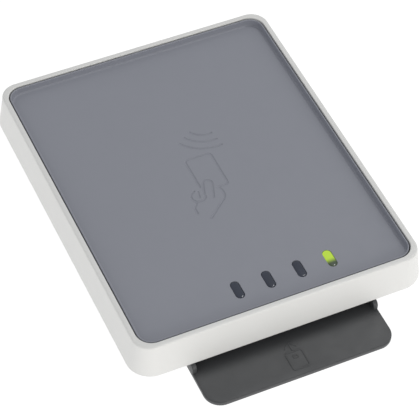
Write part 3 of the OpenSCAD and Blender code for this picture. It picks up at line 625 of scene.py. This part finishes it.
def circuit_board(name, colour, trace_mm):
    """Solder mask over copper: fine right-angled tracks show through it as a lighter green."""
    material = bpy.data.materials.new(name)
    material.use_nodes = True
    nodes, links = material.node_tree.nodes, material.node_tree.links
    shader = nodes["Principled BSDF"]
    shader.inputs["IOR"].default_value = 1.5
    shader.inputs["Coat Weight"].default_value = 0.3
    place = nodes.new("ShaderNodeTexCoord")
    tracks = nodes.new("ShaderNodeTexBrick")
    tracks.offset = 0.37
    tracks.squash = 0.6
    tracks.inputs["Scale"].default_value = 1000 / trace_mm
    tracks.inputs["Mortar Size"].default_value = 0.03
    tracks.inputs["Color1"].default_value = (*colour, 1)
    tracks.inputs["Color2"].default_value = (*[c * 0.85 for c in colour], 1)
    tracks.inputs["Mortar"].default_value = (*[c * 2.2 for c in colour], 1)
    links.new(place.outputs["Object"], tracks.inputs["Vector"])
    links.new(tracks.outputs["Color"], shader.inputs["Base Color"])
    gloss = nodes.new("ShaderNodeTexNoise")
    gloss.inputs["Scale"].default_value = 1000 / 2.5
    links.new(place.outputs["Object"], gloss.inputs["Vector"])
    sheen = nodes.new("ShaderNodeMapRange")
    sheen.inputs["To Min"].default_value = 0.25
    sheen.inputs["To Max"].default_value = 0.38
    links.new(gloss.outputs["Fac"], sheen.inputs["Value"])
    links.new(sheen.outputs["Result"], shader.inputs["Roughness"])
    bump = nodes.new("ShaderNodeBump")
    bump.inputs["Strength"].default_value = 0.3
    bump.inputs["Distance"].default_value = 0.03 * MM
    links.new(tracks.outputs["Fac"], bump.inputs["Height"])
    links.new(bump.outputs["Normal"], shader.inputs["Normal"])
    return material


def refinished(node, material):
    """Gives a CAD solid that keeps its own shape a material."""
    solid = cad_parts[node]
    solid.data.materials.clear()
    solid.data.materials.append(material)


board_green = circuit_board("board", (0.012, 0.075, 0.035), 3.2)
copper = metal("copper", (0.86, 0.42, 0.24), 0.3, streak=0.2, tarnish=0.3)
gold = metal("gold", (0.95, 0.68, 0.30), 0.22, streak=0.3, tarnish=0.08)
foam_tape = moulded_plastic("tape", (0.03, 0.03, 0.032), 0.9, 0.4, 0.9, drift=0.15)
softened("antenna_sheet", "antenna_board", 0.05 * MM, "housing", board_green, "board", segments=2)
refinished("antenna_coil", copper)
softened("foam_strips", "panel_tape", 0.05 * MM, "housing", foam_tape, "tape", segments=2)
softened("header_block", "board_header", 0.1 * MM, "housing", black_plastic, "black_plastic")
softened("header_wires", "header_pins", 0.06 * MM, "housing", gold, "gold", segments=2)

# --- Main board -----------------------------------------------------------------------------
# Green board screwed to four posts of the base. It carries the controller with its rows of
# bent leads, a radio chip, a crystal, ceramic capacitors, two inductors and a buzzer.

layout_group, given, out = node_group(
    "rows_and_columns", ("Columns", "Int"), ("Rows", "Int"), ("Width", "Float"), ("Depth", "Float"))
lattice = layout_group.nodes.new("GeometryNodeMeshGrid")
copies = layout_group.nodes.new("GeometryNodeInstanceOnPoints")
for label, socket in (("Columns", "Vertices X"), ("Rows", "Vertices Y"),
                      ("Width", "Size X"), ("Depth", "Size Y")):
    layout_group.links.new(given.outputs[label], lattice.inputs[socket])
layout_group.links.new(lattice.outputs["Mesh"], copies.inputs["Points"])
layout_group.links.new(given.outputs["Geometry"], copies.inputs["Instance"])
close_group(layout_group, given, out, copies.outputs["Instances"])


def in_rows(piece, columns, rows, width, depth, centre, finish):
    """Repeats a piece made at the origin over a rectangle of the given size about the centre."""
    run_group(piece, layout_group, columns=columns, rows=rows, width=width, depth=depth, finish=finish)
    piece.data.transform(Matrix.Translation(centre))
    return piece


def eased_block(name, low, high, radius):
    """Block with all its edges rounded."""
    mesh = bmesh.new()
    size = Vector(high) - Vector(low)
    place = Matrix.Translation((Vector(low) + Vector(high)) / 2) @ Matrix.Diagonal((*size, 1))
    bmesh.ops.create_cube(mesh, size=1, matrix=place)
    bmesh.ops.bevel(mesh, geom=mesh.edges[:], offset=radius, segments=3, profile=0.5, affect="EDGES")
    return finished_mesh(name, mesh)


def joined(name, pieces):
    """One piece out of several, as separate shells of the same mesh."""
    mesh = bmesh.new()
    for piece in pieces:
        mesh.from_mesh(piece.data)
        bpy.data.objects.remove(piece)
    return finished_mesh(name, mesh)


softened("main_board", "main_pcb", 0.06 * MM, "housing", board_green, "board", segments=2)
chip_black = moulded_plastic("chip", (0.022, 0.022, 0.024), 0.55, 0.1, 0.5, drift=0.06)
tin = metal("tin_leads", (0.78, 0.77, 0.74), 0.28, streak=0.2)
chip_low, chip_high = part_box("controller_chip")
chip_mid = (chip_low + chip_high) / 2
lead_reach = 0.99 * MM
chip_body = eased_block("controller_body",
                        (chip_low.x + lead_reach, chip_low.y + lead_reach, chip_low.z + 0.1 * MM),
                        (chip_high.x - lead_reach, chip_high.y - lead_reach, chip_high.z), 0.12 * MM)
pin_mark = post_between("pin_mark", chip_low.x + 2.2 * MM, chip_low.y + 2.2 * MM, 0.45 * MM,
                        chip_high.z - 0.08 * MM, chip_high.z + MM, sides=24)
combine(chip_body, [pin_mark], "DIFFERENCE")
placed(chip_body, "housing", "controller_chip", material=chip_black, slot="chip")


def bent_lead():
    """Flat lead that leaves the chip's side, steps down and stands on the board."""
    mesh = bmesh.new()
    half_w, thick = 0.15 * MM, 0.12 * MM
    line = [(0, 0.3), (0.25, 0.3), (0.45, 0.12), (0.55, 0.0), (1.0, 0.0)]
    rings = []
    for x, z in line:
        rings.append([mesh.verts.new((x * MM, side * half_w, z * MM + up))
                      for side, up in ((-1, 0), (1, 0), (1, thick), (-1, thick))])
    return skinned("bent_lead", mesh, rings)


leads_per_side, lead_row = 11, 8 * MM
lead_sides = []
for quarter in range(4):
    lead = in_rows(bent_lead(), 1, leads_per_side, 0, lead_row, (0, 0, 0), tin)
    lead.data.transform(Matrix.Translation((chip_high.x - chip_mid.x - lead_reach, 0, chip_low.z)))
    side_turn = Matrix.Rotation(quarter * math.pi / 2, 4, "Z")
    lead.data.transform(Matrix.Translation((chip_mid.x, chip_mid.y, 0)) @ side_turn)
    lead_sides.append(lead)
placed(joined("controller_leads", lead_sides), "housing", "controller_chip", material=tin, slot="steel")

can_steel = metal("crystal_can", (0.72, 0.72, 0.70), 0.24, streak=0.1)
ceramic = moulded_plastic("ceramic", (0.45, 0.33, 0.20), 0.45, 0.2, 0.3, drift=0.1)
ferrite = moulded_plastic("ferrite", (0.05, 0.048, 0.046), 0.6, 0.12, 0.5, drift=0.1)
softened("radio_chip", "rf_chip", 0.08 * MM, "housing", chip_black, "chip")
softened("crystal_case", "crystal", 0.25 * MM, "housing", can_steel, "crystal_can")
softened("buzzer_case", "buzzer", 0.3 * MM, "housing", black_plastic, "black_plastic")
softened("coil_blocks", "inductors", 0.2 * MM, "housing", ferrite, "ferrite")

caps_low, caps_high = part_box("capacitors")
cap_w, cap_d, cap_h = 2 * MM, 1.25 * MM, 0.8 * MM
caps_mid = (caps_low + caps_high) / 2
cap_span = (caps_high.x - caps_low.x - cap_w, caps_high.y - caps_low.y - cap_d)
cap_end = 0.45 * MM
core_inset = 0.03 * MM
cap_columns, cap_rows = 6, 2
cap_core = eased_block("capacitor_cores", (-cap_w / 2 + cap_end, -cap_d / 2 + core_inset, core_inset),
                       (cap_w / 2 - cap_end, cap_d / 2 - core_inset, cap_h - core_inset), 0.02 * MM)
in_rows(cap_core, cap_columns, cap_rows, *cap_span, (caps_mid.x, caps_mid.y, caps_low.z), ceramic)
placed(cap_core, "housing", "capacitors", material=ceramic, slot="ceramic")
cap_ends = joined("capacitor_ends", [
    eased_block("end", (x0, -cap_d / 2, 0), (x0 + cap_end, cap_d / 2, cap_h), 0.1 * MM)
    for x0 in (-cap_w / 2, cap_w / 2 - cap_end)])
in_rows(cap_ends, cap_columns, cap_rows, *cap_span, (caps_mid.x, caps_mid.y, caps_low.z), tin)
placed(cap_ends, "housing", "capacitors", material=tin, slot="steel")

# --- Card connector and its switch ----------------------------------------------------------
# Black frame under the board. Two facing rows of gold-plated strips press on the card's
# contacts, and a small sprung lever on a steel pin tells that the card is fully in.

softened("connector_frame", "card_connector", 0.12 * MM, "housing", black_plastic, "black_plastic",
         segments=2)
softened("strip_tails", "contact_tails", 0.04 * MM, "housing", gold, "gold", segments=2)
softened("strips_front", "contact_row_front", 0.05 * MM, "front_contacts", gold, "gold", segments=2)
softened("strips_rear", "contact_row_rear", 0.05 * MM, "rear_contacts", gold, "gold", segments=2)
softened("lever", "switch_lever", 0.1 * MM, "card_switch", black_plastic, "black_plastic", segments=2)
steel = metal("steel", (0.66, 0.66, 0.65), 0.3, streak=0.8)
spring_steel = metal("spring_steel", (0.60, 0.60, 0.60), 0.25, streak=0.4)
softened("lever_pin", "switch_pin", 0.12 * MM, "housing", steel, "steel")

pin_low, pin_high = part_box("switch_pin")
pin_mid = (pin_low + pin_high) / 2
wire_r = 0.12 * MM
coil_r = (pin_high.z - pin_low.z) / 2 + 0.1 * MM + wire_r
coils = 3
spring_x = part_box("switch_spring")[0].x + wire_r
turns = []
for i in range(24 * (coils - 1) + 1):
    turn = math.tau * i / 24
    turns.append(Vector((spring_x + 2.1 * wire_r * i / 24, pin_mid.y + coil_r * math.cos(turn),
                         pin_mid.z + coil_r * math.sin(turn))))
leg = [turns[-1] + Vector((0, 0, -k * 0.4 * MM)) for k in range(1, 5)]
spring = round_bar("return_spring", turns + leg, wire_r, 10, spring_steel)
placed(spring, "housing", "switch_spring", material=spring_steel, slot="spring_steel")

# --- Module socket --------------------------------------------------------------------------
# Small black frame on the board's underside with six gold contacts, reached from below
# through the window under the hatch. It holds a cut-down security card.

softened("module_frame", "sam_socket", 0.12 * MM, "housing", black_plastic, "black_plastic",
         segments=2)
softened("module_strips", "sam_contacts", 0.04 * MM, "housing", gold, "gold", segments=2)

# --- Base cover ----------------------------------------------------------------------------
# Dark grey tub with the card tray in one moulding. Its walls lean in under the white frame
# and stand up inside it. Cheeks flank the card mouth, and a raised sign shows the way in.

base_low, base_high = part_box("base_cover")
base_z = base_low.z
floor_z = base_z + 1.5 * MM
base_inset = 6 * MM
base_w = shell_high.x - shell_low.x - 2 * base_inset
base_d = shell_high.y - shell_low.y - 2 * base_inset
base_wall = 1.6 * MM
spigot_gap = 0.15 * MM
spigot_w, spigot_d = opening_w - 2 * spigot_gap, opening_d - 2 * spigot_gap
spigot_r = opening_r - spigot_gap
inner_w, inner_d = spigot_w - 2 * base_wall, spigot_d - 2 * base_wall
hidden_step = 0.02 * MM
base = lofted("base_moulding", [
    ((base_w - 8 * MM, base_d - 8 * MM, MM, base_z), 0),
    ((base_w, base_d, 4 * MM, base_z), 0.5 * MM),
    ((spigot_w, spigot_d, spigot_r, shell_z), 0),
    ((spigot_w, spigot_d, spigot_r, base_high.z), 0.2 * MM),
    ((inner_w, inner_d, 3 * MM, base_high.z), 0.2 * MM),
    ((inner_w, inner_d, 3 * MM, shell_z), 0),
    ((base_w - 2 * base_wall, base_d - 2 * base_wall, 3 * MM, floor_z - hidden_step), 0.3 * MM),
    ((base_w - 12 * MM, base_d - 12 * MM, MM, floor_z - hidden_step), 0),
])
cheek_t = 1.4 * MM
channel_w = 54.58 * MM
tray_w = channel_w + 2 * cheek_t
tray_r = 5 * MM
mouth_inside_y = shell_low.y + 2 * base_inset


def tray_plate():
    """Flat tongue with round front corners and eased edges, running on into the tub's floor."""
    mesh = bmesh.new()
    rings = []
    ease = 0.4 * MM
    for k in range(14):
        upper = k > 6
        turn = math.radians(90 * (k - 7 if upper else k) / 6)
        inset = ease * (1 - (math.cos(turn) if upper else math.sin(turn)))
        height = floor_z - ease + ease * math.sin(turn) if upper else base_z + ease - ease * math.cos(turn)
        height = max(height, base_z + hidden_step)
        ring = []
        for side in (-1, 1):
            for i in range(19):
                angle = math.radians(180 + 90 * i / 18) if side < 0 else math.radians(270 + 90 * i / 18)
                ring.append(mesh.verts.new((
                    side * (tray_w / 2 - tray_r) + (tray_r - inset) * math.cos(angle),
                    base_low.y + tray_r + (tray_r - inset) * math.sin(angle), height)))
        for side in (1, -1):
            ring.append(mesh.verts.new((side * (tray_w / 2 - inset), mouth_inside_y, height)))
        rings.append(ring)
    return skinned("tray_plate", mesh, rings)


def cheek(inner_x, outer_x):
    """Low side wall of the mouth, with its top front corner rounded and all edges eased."""
    front_y = shell_low.y - 1.2 * MM
    top = shell_z - 0.1 * MM
    radius = 1.6 * MM
    outline = [(front_y, floor_z - 0.6 * MM)]
    for i in range(9):
        turn = math.radians(180 - 90 * i / 8)
        outline.append((front_y + radius + radius * math.cos(turn), top - radius + radius * math.sin(turn)))
    outline += [(mouth_inside_y, top), (mouth_inside_y, floor_z - 0.6 * MM)]
    mesh = bmesh.new()
    face = mesh.faces.new([mesh.verts.new((inner_x, y, z)) for y, z in outline])
    side = bmesh.ops.extrude_face_region(mesh, geom=[face])
    moved = [v for v in side["geom"] if isinstance(v, bmesh.types.BMVert)]
    bmesh.ops.translate(mesh, verts=moved, vec=(outer_x - inner_x, 0, 0))
    rims = [e for e in mesh.edges if abs(e.verts[0].co.x - e.verts[1].co.x) < 1e-6]
    bmesh.ops.bevel(mesh, geom=rims, offset=0.25 * MM, segments=4, profile=0.5, affect="EDGES")
    return finished_mesh("cheek", mesh)


additions = [tray_plate(), cheek(-channel_w / 2, -tray_w / 2), cheek(channel_w / 2, tray_w / 2)]
pcb_low, pcb_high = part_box("main_pcb")
board_screws_low, board_screws_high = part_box("pcb_screws")
board_head_r = 1.8 * MM
board_post_r = 2.5 * MM
well_depth = 2.6 * MM
shank_hole_r = 1.35 * MM
board_post_x = board_screws_high.x - board_head_r
board_post_y = (board_screws_high.y - board_screws_low.y) / 2 - board_head_r
for sx in (-1, 1):
    for sy in (-1, 1):
        additions.append(post_between("screw_post", sx * post_x, middle.y + sy * post_y, post_r,
                                      base_z + 0.3 * MM, base_high.z - 0.1 * MM))
        additions.append(post_between("board_post", sx * board_post_x, middle.y + sy * board_post_y,
                                      board_post_r, base_z + 0.3 * MM, pcb_low.z))
combine(base, additions, "UNION")

# Card mouth, screw wells, foot pockets, label recess and the hatch's pocket with its grooves.
mouth_floor = floor_z + 0.01 * MM
cuts = [box_between("mouth", (-channel_w / 2, shell_low.y - 3 * MM, mouth_floor),
                    (channel_w / 2, mouth_inside_y, shell_z))]
feet_low, feet_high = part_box("rubber_feet")
foot_r = 4.5 * MM
foot_x = feet_high.x - foot_r
foot_y = (feet_high.y - feet_low.y) / 2 - foot_r
head_gap = 0.1 * MM
for sx in (-1, 1):
    for sy in (-1, 1):
        x, y = sx * post_x, middle.y + sy * post_y
        cuts.append(post_between("well", x, y, head_r + head_gap, base_z - MM, base_z + well_depth))
        cuts.append(post_between("shank_hole", x, y, shank_hole_r, base_z, base_high.z + MM))
        cuts.append(post_between("foot_pocket", sx * foot_x, middle.y + sy * foot_y, foot_r + head_gap,
                                 base_z - MM, feet_high.z, sides=64))
        cuts.append(post_between("board_hole", sx * board_post_x, middle.y + sy * board_post_y, MM,
                                 board_screws_low.z, pcb_high.z))
label_low, label_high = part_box("rating_label")
cuts.append(box_between("label_recess", (label_low.x - head_gap, label_low.y - head_gap, base_z - MM),
                        (label_high.x + head_gap, label_high.y + head_gap, label_high.z)))
hatch_low, hatch_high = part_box("sam_hatch")
tongue = MM
pocket_top = hatch_high.z + 0.05 * MM
way_out_y = hatch_high.y + 4 * MM
cuts.append(box_between("hatch_pocket",
                        (hatch_low.x + tongue - head_gap, hatch_low.y - head_gap, base_z - MM),
                        (hatch_high.x - tongue + head_gap, way_out_y, pocket_top)))
cuts.append(box_between("hatch_grooves",
                        (hatch_low.x - head_gap, hatch_low.y - head_gap, pocket_top - 0.6 * MM),
                        (hatch_high.x + head_gap, way_out_y, pocket_top - 0.01 * MM)))
sam_low, sam_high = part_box("sam_socket")
cuts.append(box_between("module_window", (sam_low.x + MM, sam_low.y + 1.5 * MM, base_z),
                        (sam_high.x - MM, sam_high.y - 1.5 * MM, floor_z + MM)))
combine(base, cuts, "DIFFERENCE")

# Raised sign on the tray: an arrow towards the mouth above a small card with its chip.
sign_card = (5, 6)
sign_y = (base_low.y - middle.y) / MM + 2.2 + sign_card[1] / 2
half_w, half_h = sign_card[0] / 2, sign_card[1] / 2
sign_corner = 0.7
frame_path = [(0, sign_y + half_h)]
for sx, sy, start in ((1, 1, 90), (1, -1, 0), (-1, -1, -90), (-1, 1, -180)):
    frame_path += arc_path(sx * (half_w - sign_corner), sign_y + sy * (half_h - sign_corner), sign_corner,
                           start, start - 90, 5)
frame_path.append((-0.02, sign_y + half_h))
arrow_y = sign_y + half_h + 0.7
arrow_tip = arrow_y + 2.6
barb = 1.8
chip_w, chip_h = 0.6, 0.45
chip_y = sign_y + half_h - 1.7
signs = [
    frame_path,
    [(0, arrow_y), (0, arrow_tip - 0.1)],
    [(-barb, arrow_tip - barb), (0, arrow_tip), (barb, arrow_tip - barb)],
    [(-chip_w, chip_y - chip_h), (-chip_w, chip_y + chip_h), (chip_w, chip_y + chip_h),
     (chip_w, chip_y - chip_h), (0.01 - chip_w, chip_y - chip_h)],
]
ridge_r = 0.3 * MM
ridge_proud = 0.2 * MM
ridges = [drawn_line("ridge", path, ridge_r, floor_z + ridge_proud - ridge_r, sides=10) for path in signs]
combine(base, ridges, "UNION")
base_grey = moulded_plastic("base_grey", (0.064, 0.066, 0.069), 0.48, 0.2, 0.5, drift=0.03)
placed(base, "housing", "base_cover", material=base_grey, slot="base_grey")

# --- Hatch ----------------------------------------------------------------------------------
# Thin sliding lid over the module socket, in the base's plastic. Its two tongues run in
# grooves of the base, and five ribs near its back edge give a fingertip some grip.

softened("sliding_hatch", "sam_hatch", 0.12 * MM, "hatch", base_grey, "base_grey")

# --- Feet -----------------------------------------------------------------------------------
# Four round feet of black rubber, glued in shallow pockets of the base. Each has a rounded
# rim and a shallow ring in its sole.


def revolved(name, profile, sides=48):
    """Solid of revolution about Z. Its profile runs from pole to pole as (radius, height)."""
    mesh = bmesh.new()
    rings = []
    for radius, height in profile:
        if radius == 0:
            rings.append([mesh.verts.new((0, 0, height))])
        else:
            rings.append([mesh.verts.new((radius * math.cos(t), radius * math.sin(t), height))
                          for t in (math.tau * k / sides for k in range(sides))])
    for a, b in zip(rings, rings[1:]):
        for k in range(sides):
            j = (k + 1) % sides
            loop = [a[0]] if len(a) == 1 else [a[k], a[j]]
            loop += [b[0]] if len(b) == 1 else [b[j], b[k]]
            mesh.faces.new(loop)
    return finished_mesh(name, mesh)


def quarter_turn(radius, height, ease, start, steps=6):
    """Rounded corner of a profile about (radius, height), from a start angle in degrees."""
    return [(radius + ease * math.cos(math.radians(start + 90 * k / steps)),
             height + ease * math.sin(math.radians(start + 90 * k / steps))) for k in range(steps + 1)]


foot_h = feet_high.z - feet_low.z
foot_ease = 0.35 * MM
sole = [(0, 0.02 * MM), (2.2 * MM, 0.02 * MM), (2.35 * MM, 0.16 * MM), (2.85 * MM, 0.16 * MM), (3 * MM, 0)]
foot = revolved("feet", sole + quarter_turn(foot_r - foot_ease, foot_ease, foot_ease, -90)
                + [(foot_r, foot_h), (0, foot_h)], sides=72)
rubber = moulded_plastic("foot_rubber", (0.018, 0.018, 0.019), 0.82, 0.12, 0.8, drift=0.1)
in_rows(foot, 2, 2, 2 * foot_x, 2 * foot_y, (middle.x, middle.y, feet_low.z), rubber)
placed(foot, "housing", "rubber_feet", material=rubber, slot="foot_rubber")

# --- Screws ---------------------------------------------------------------------------------
# Four pan-head screws hold the base to the white frame from below, and four smaller ones
# hold the board. Each has a cross recess in a slightly domed head and a rolled thread.


def screw(name, head_radius, head_height, shank_r, length, recess):
    """Screw at the origin, head upwards, shank down along -Z."""
    dome = [(0, head_height)]
    for k in range(1, 7):
        share = k / 6
        dome.append((head_radius * 0.86 * share, head_height - 0.12 * MM * share**2))
    profile = dome + quarter_turn(head_radius - 0.25 * MM, head_height - 0.4 * MM, 0.25 * MM, 60, 4)[::-1][1:]
    profile += [(head_radius, 0.1 * MM), (head_radius - 0.08 * MM, 0), (shank_r, 0)]
    pitch = 0.5 * MM
    root_r = shank_r - 0.16 * MM
    for k in range(int((length - 0.8 * MM) / pitch)):
        z = -0.2 * MM - k * pitch
        profile += [(shank_r, z), (root_r, z - 0.2 * MM), (root_r, z - 0.3 * MM)]
    profile += [(shank_r, -length + 0.5 * MM), (root_r * 0.7, -length), (0, -length)]
    body = revolved(name, profile, sides=40)
    slots = []
    for turn in (0, math.pi / 2):
        slot = box_between("recess", (-recess, -0.3 * MM, head_height - 0.8 * MM),
                           (recess, 0.3 * MM, head_height + MM))
        slot.data.transform(Matrix.Rotation(turn, 4, "Z"))
        slots.append(slot)
    combine(body, slots, "DIFFERENCE")
    return body


screw_steel = metal("screw_steel", (0.42, 0.42, 0.43), 0.32, streak=0.1)
case_head_h = 1.6 * MM
case_shank = screws_high.z - screws_low.z - case_head_h
case_screw = screw("base_screws", head_r, case_head_h, 1.24 * MM, case_shank, 1.2 * MM)
case_screw.data.transform(Matrix.Rotation(math.pi, 4, "X"))
in_rows(case_screw, 2, 2, 2 * post_x, 2 * post_y, (middle.x, middle.y, screws_low.z + case_head_h),
        screw_steel)
placed(case_screw, "housing", "case_screws", material=screw_steel, slot="screw_steel")
board_head_h = 1.3 * MM
board_screw = screw("board_screws", board_head_r, board_head_h, 0.99 * MM,
                    board_screws_high.z - board_screws_low.z - board_head_h, 1.1 * MM)
in_rows(board_screw, 2, 2, 2 * board_post_x, 2 * board_post_y,
        (middle.x, middle.y, board_screws_high.z - board_head_h), screw_steel)
placed(board_screw, "housing", "pcb_screws", material=screw_steel, slot="screw_steel")

# --- Cable socket ---------------------------------------------------------------------------
# Drawn steel shell of a small socket at the back of the board. A black tongue inside it
# carries five gold contacts, and its mouth is flared a little to guide the plug.

softened("socket_shell", "usb_shell", 0.1 * MM, "housing", steel, "steel")
softened("socket_tongue", "usb_insulator", 0.08 * MM, "housing", black_plastic, "black_plastic")
softened("socket_contacts", "usb_contacts", 0.03 * MM, "housing", gold, "gold", segments=2)

# --- Label ----------------------------------------------------------------------------------
# Blank silver polyester label in a shallow recess of the underside, with one thin printed
# frame and no lettering.

label_material = metal("label", (0.62, 0.62, 0.61), 0.5, streak=1.0, tarnish=0.04)
nodes, links = label_material.node_tree.nodes, label_material.node_tree.links
label_shader = nodes["Principled BSDF"]
label_shader.inputs["Metallic"].default_value = 0.35
label_place = nodes.new("ShaderNodeTexCoord")
label_axes = nodes.new("ShaderNodeSeparateXYZ")
links.new(label_place.outputs["Object"], label_axes.inputs["Vector"])
label_mid = (label_low + label_high) / 2
frame_inset, frame_line = 1.5 * MM, 0.15 * MM


def worked_out(operation, *values):
    """Math node on the label, fed with numbers or with other nodes' results."""
    step = nodes.new("ShaderNodeMath")
    step.operation = operation
    for socket, value in zip(step.inputs, values):
        if isinstance(value, (int, float)):
            socket.default_value = value
        else:
            links.new(value, socket)
    return step.outputs[0]


edges = []
for axis, half in (("X", (label_high.x - label_low.x) / 2), ("Y", (label_high.y - label_low.y) / 2)):
    away = worked_out("SUBTRACT", label_axes.outputs[axis], label_mid["XY".index(axis)])
    edges.append(worked_out("SUBTRACT", half - frame_inset, worked_out("ABSOLUTE", away)))
on_line = worked_out("COMPARE", worked_out("MINIMUM", *edges), 0.0, frame_line)
print_mix = nodes.new("ShaderNodeMix")
print_mix.data_type = "RGBA"
links.new(on_line, print_mix.inputs["Factor"])
links.new(label_shader.inputs["Base Color"].links[0].from_socket, print_mix.inputs["A"])
print_mix.inputs["B"].default_value = (0.03, 0.03, 0.03, 1)
links.new(print_mix.outputs["Result"], label_shader.inputs["Base Color"])
softened("underside_label", "rating_label", 0.04 * MM, "housing", label_material, "label", segments=2)

# --- Floor, light and camera ---------------------------------------------------------------
# White light table in a tent of soft light, brighter near the horizon. A low box in front
# lifts the outer walls, and a small key from behind on the right picks out the engraving.

floor_mesh = bmesh.new()
table_z = -0.05 * MM
bmesh.ops.create_grid(floor_mesh, x_segments=1, y_segments=1, size=4,
                      matrix=Matrix.Translation((0, 0, table_z)))
floor = finished_mesh("floor", floor_mesh)
pale = bpy.data.materials.new("pale_table")
pale.use_nodes = True
table_shader = pale.node_tree.nodes["Principled BSDF"]
table_shader.inputs["Base Color"].default_value = (0.15, 0.15, 0.15, 1)
table_shader.inputs["Roughness"].default_value = 1.0
table_shader.inputs["Specular IOR Level"].default_value = 0.0
table_shader.inputs["Emission Color"].default_value = (1, 1, 1, 1)
table_shader.inputs["Emission Strength"].default_value = 0.98
floor.data.materials.append(pale)

world = bpy.data.worlds.new("tent")
world.use_nodes = True
nodes, links = world.node_tree.nodes, world.node_tree.links
sky = nodes["Background"]
sky.inputs["Color"].default_value = (0.97, 0.985, 1, 1)
sky_place = nodes.new("ShaderNodeTexCoord")
sky_axes = nodes.new("ShaderNodeSeparateXYZ")
sky_fall = nodes.new("ShaderNodeMapRange")
sky_fall.inputs["To Min"].default_value = 0.76
sky_fall.inputs["To Max"].default_value = 0.38
links.new(sky_place.outputs["Generated"], sky_axes.inputs["Vector"])
links.new(sky_axes.outputs["Z"], sky_fall.inputs["Value"])
links.new(sky_fall.outputs["Result"], sky.inputs["Strength"])
bpy.context.scene.world = world


def soft_light(name, azimuth, elevation, distance, size, watts, colour=(1, 1, 1)):
    """Square soft box aimed at the reader. Azimuth turns from behind it towards its right."""
    lamp = bpy.data.lights.new(name, "AREA")
    lamp.energy = watts
    lamp.size = size
    lamp.color = colour
    holder = bpy.data.objects.new(name, lamp)
    a, e = math.radians(azimuth), math.radians(elevation)
    way = Vector((math.sin(a) * math.cos(e), math.cos(a) * math.cos(e), math.sin(e)))
    holder.location = Vector((middle.x, middle.y, rim_z)) + way * distance
    holder.rotation_euler = way.to_track_quat("Z", "Y").to_euler()
    bpy.context.scene.collection.objects.link(holder)


soft_light("key", 60, 63, 1.2, 0.25, 3.0)
soft_light("front", 168, 12, 1.1, 0.6, 3.0, (1, 0.975, 0.93))

azimuth, elevation, roll = (math.radians(v) for v in (-26.07, 49.14, 2.09))
lens_mm = 175.7
aim = Vector((middle.x - 4.92 * MM, middle.y - 15.03 * MM, rim_z))
distance = 583.3 * MM
back = Vector((math.sin(azimuth) * math.cos(elevation), -math.cos(azimuth) * math.cos(elevation),
               math.sin(elevation)))
level = Vector((0, 0, 1)).cross(back).normalized()
upright = back.cross(level)
right = level * math.cos(roll) + upright * math.sin(roll)
up = upright * math.cos(roll) - level * math.sin(roll)
lens = bpy.data.cameras.new("camera")
lens.lens = lens_mm
lens.sensor_width = 36
lens.clip_start = 0.01
camera = bpy.data.objects.new("camera", lens)
turn = Matrix((right, up, back)).transposed().to_4x4()
camera.matrix_world = Matrix.Translation(aim + back * distance) @ turn
bpy.context.scene.collection.objects.link(camera)
bpy.context.scene.camera = camera
bpy.context.scene.view_settings.view_transform = "Standard"
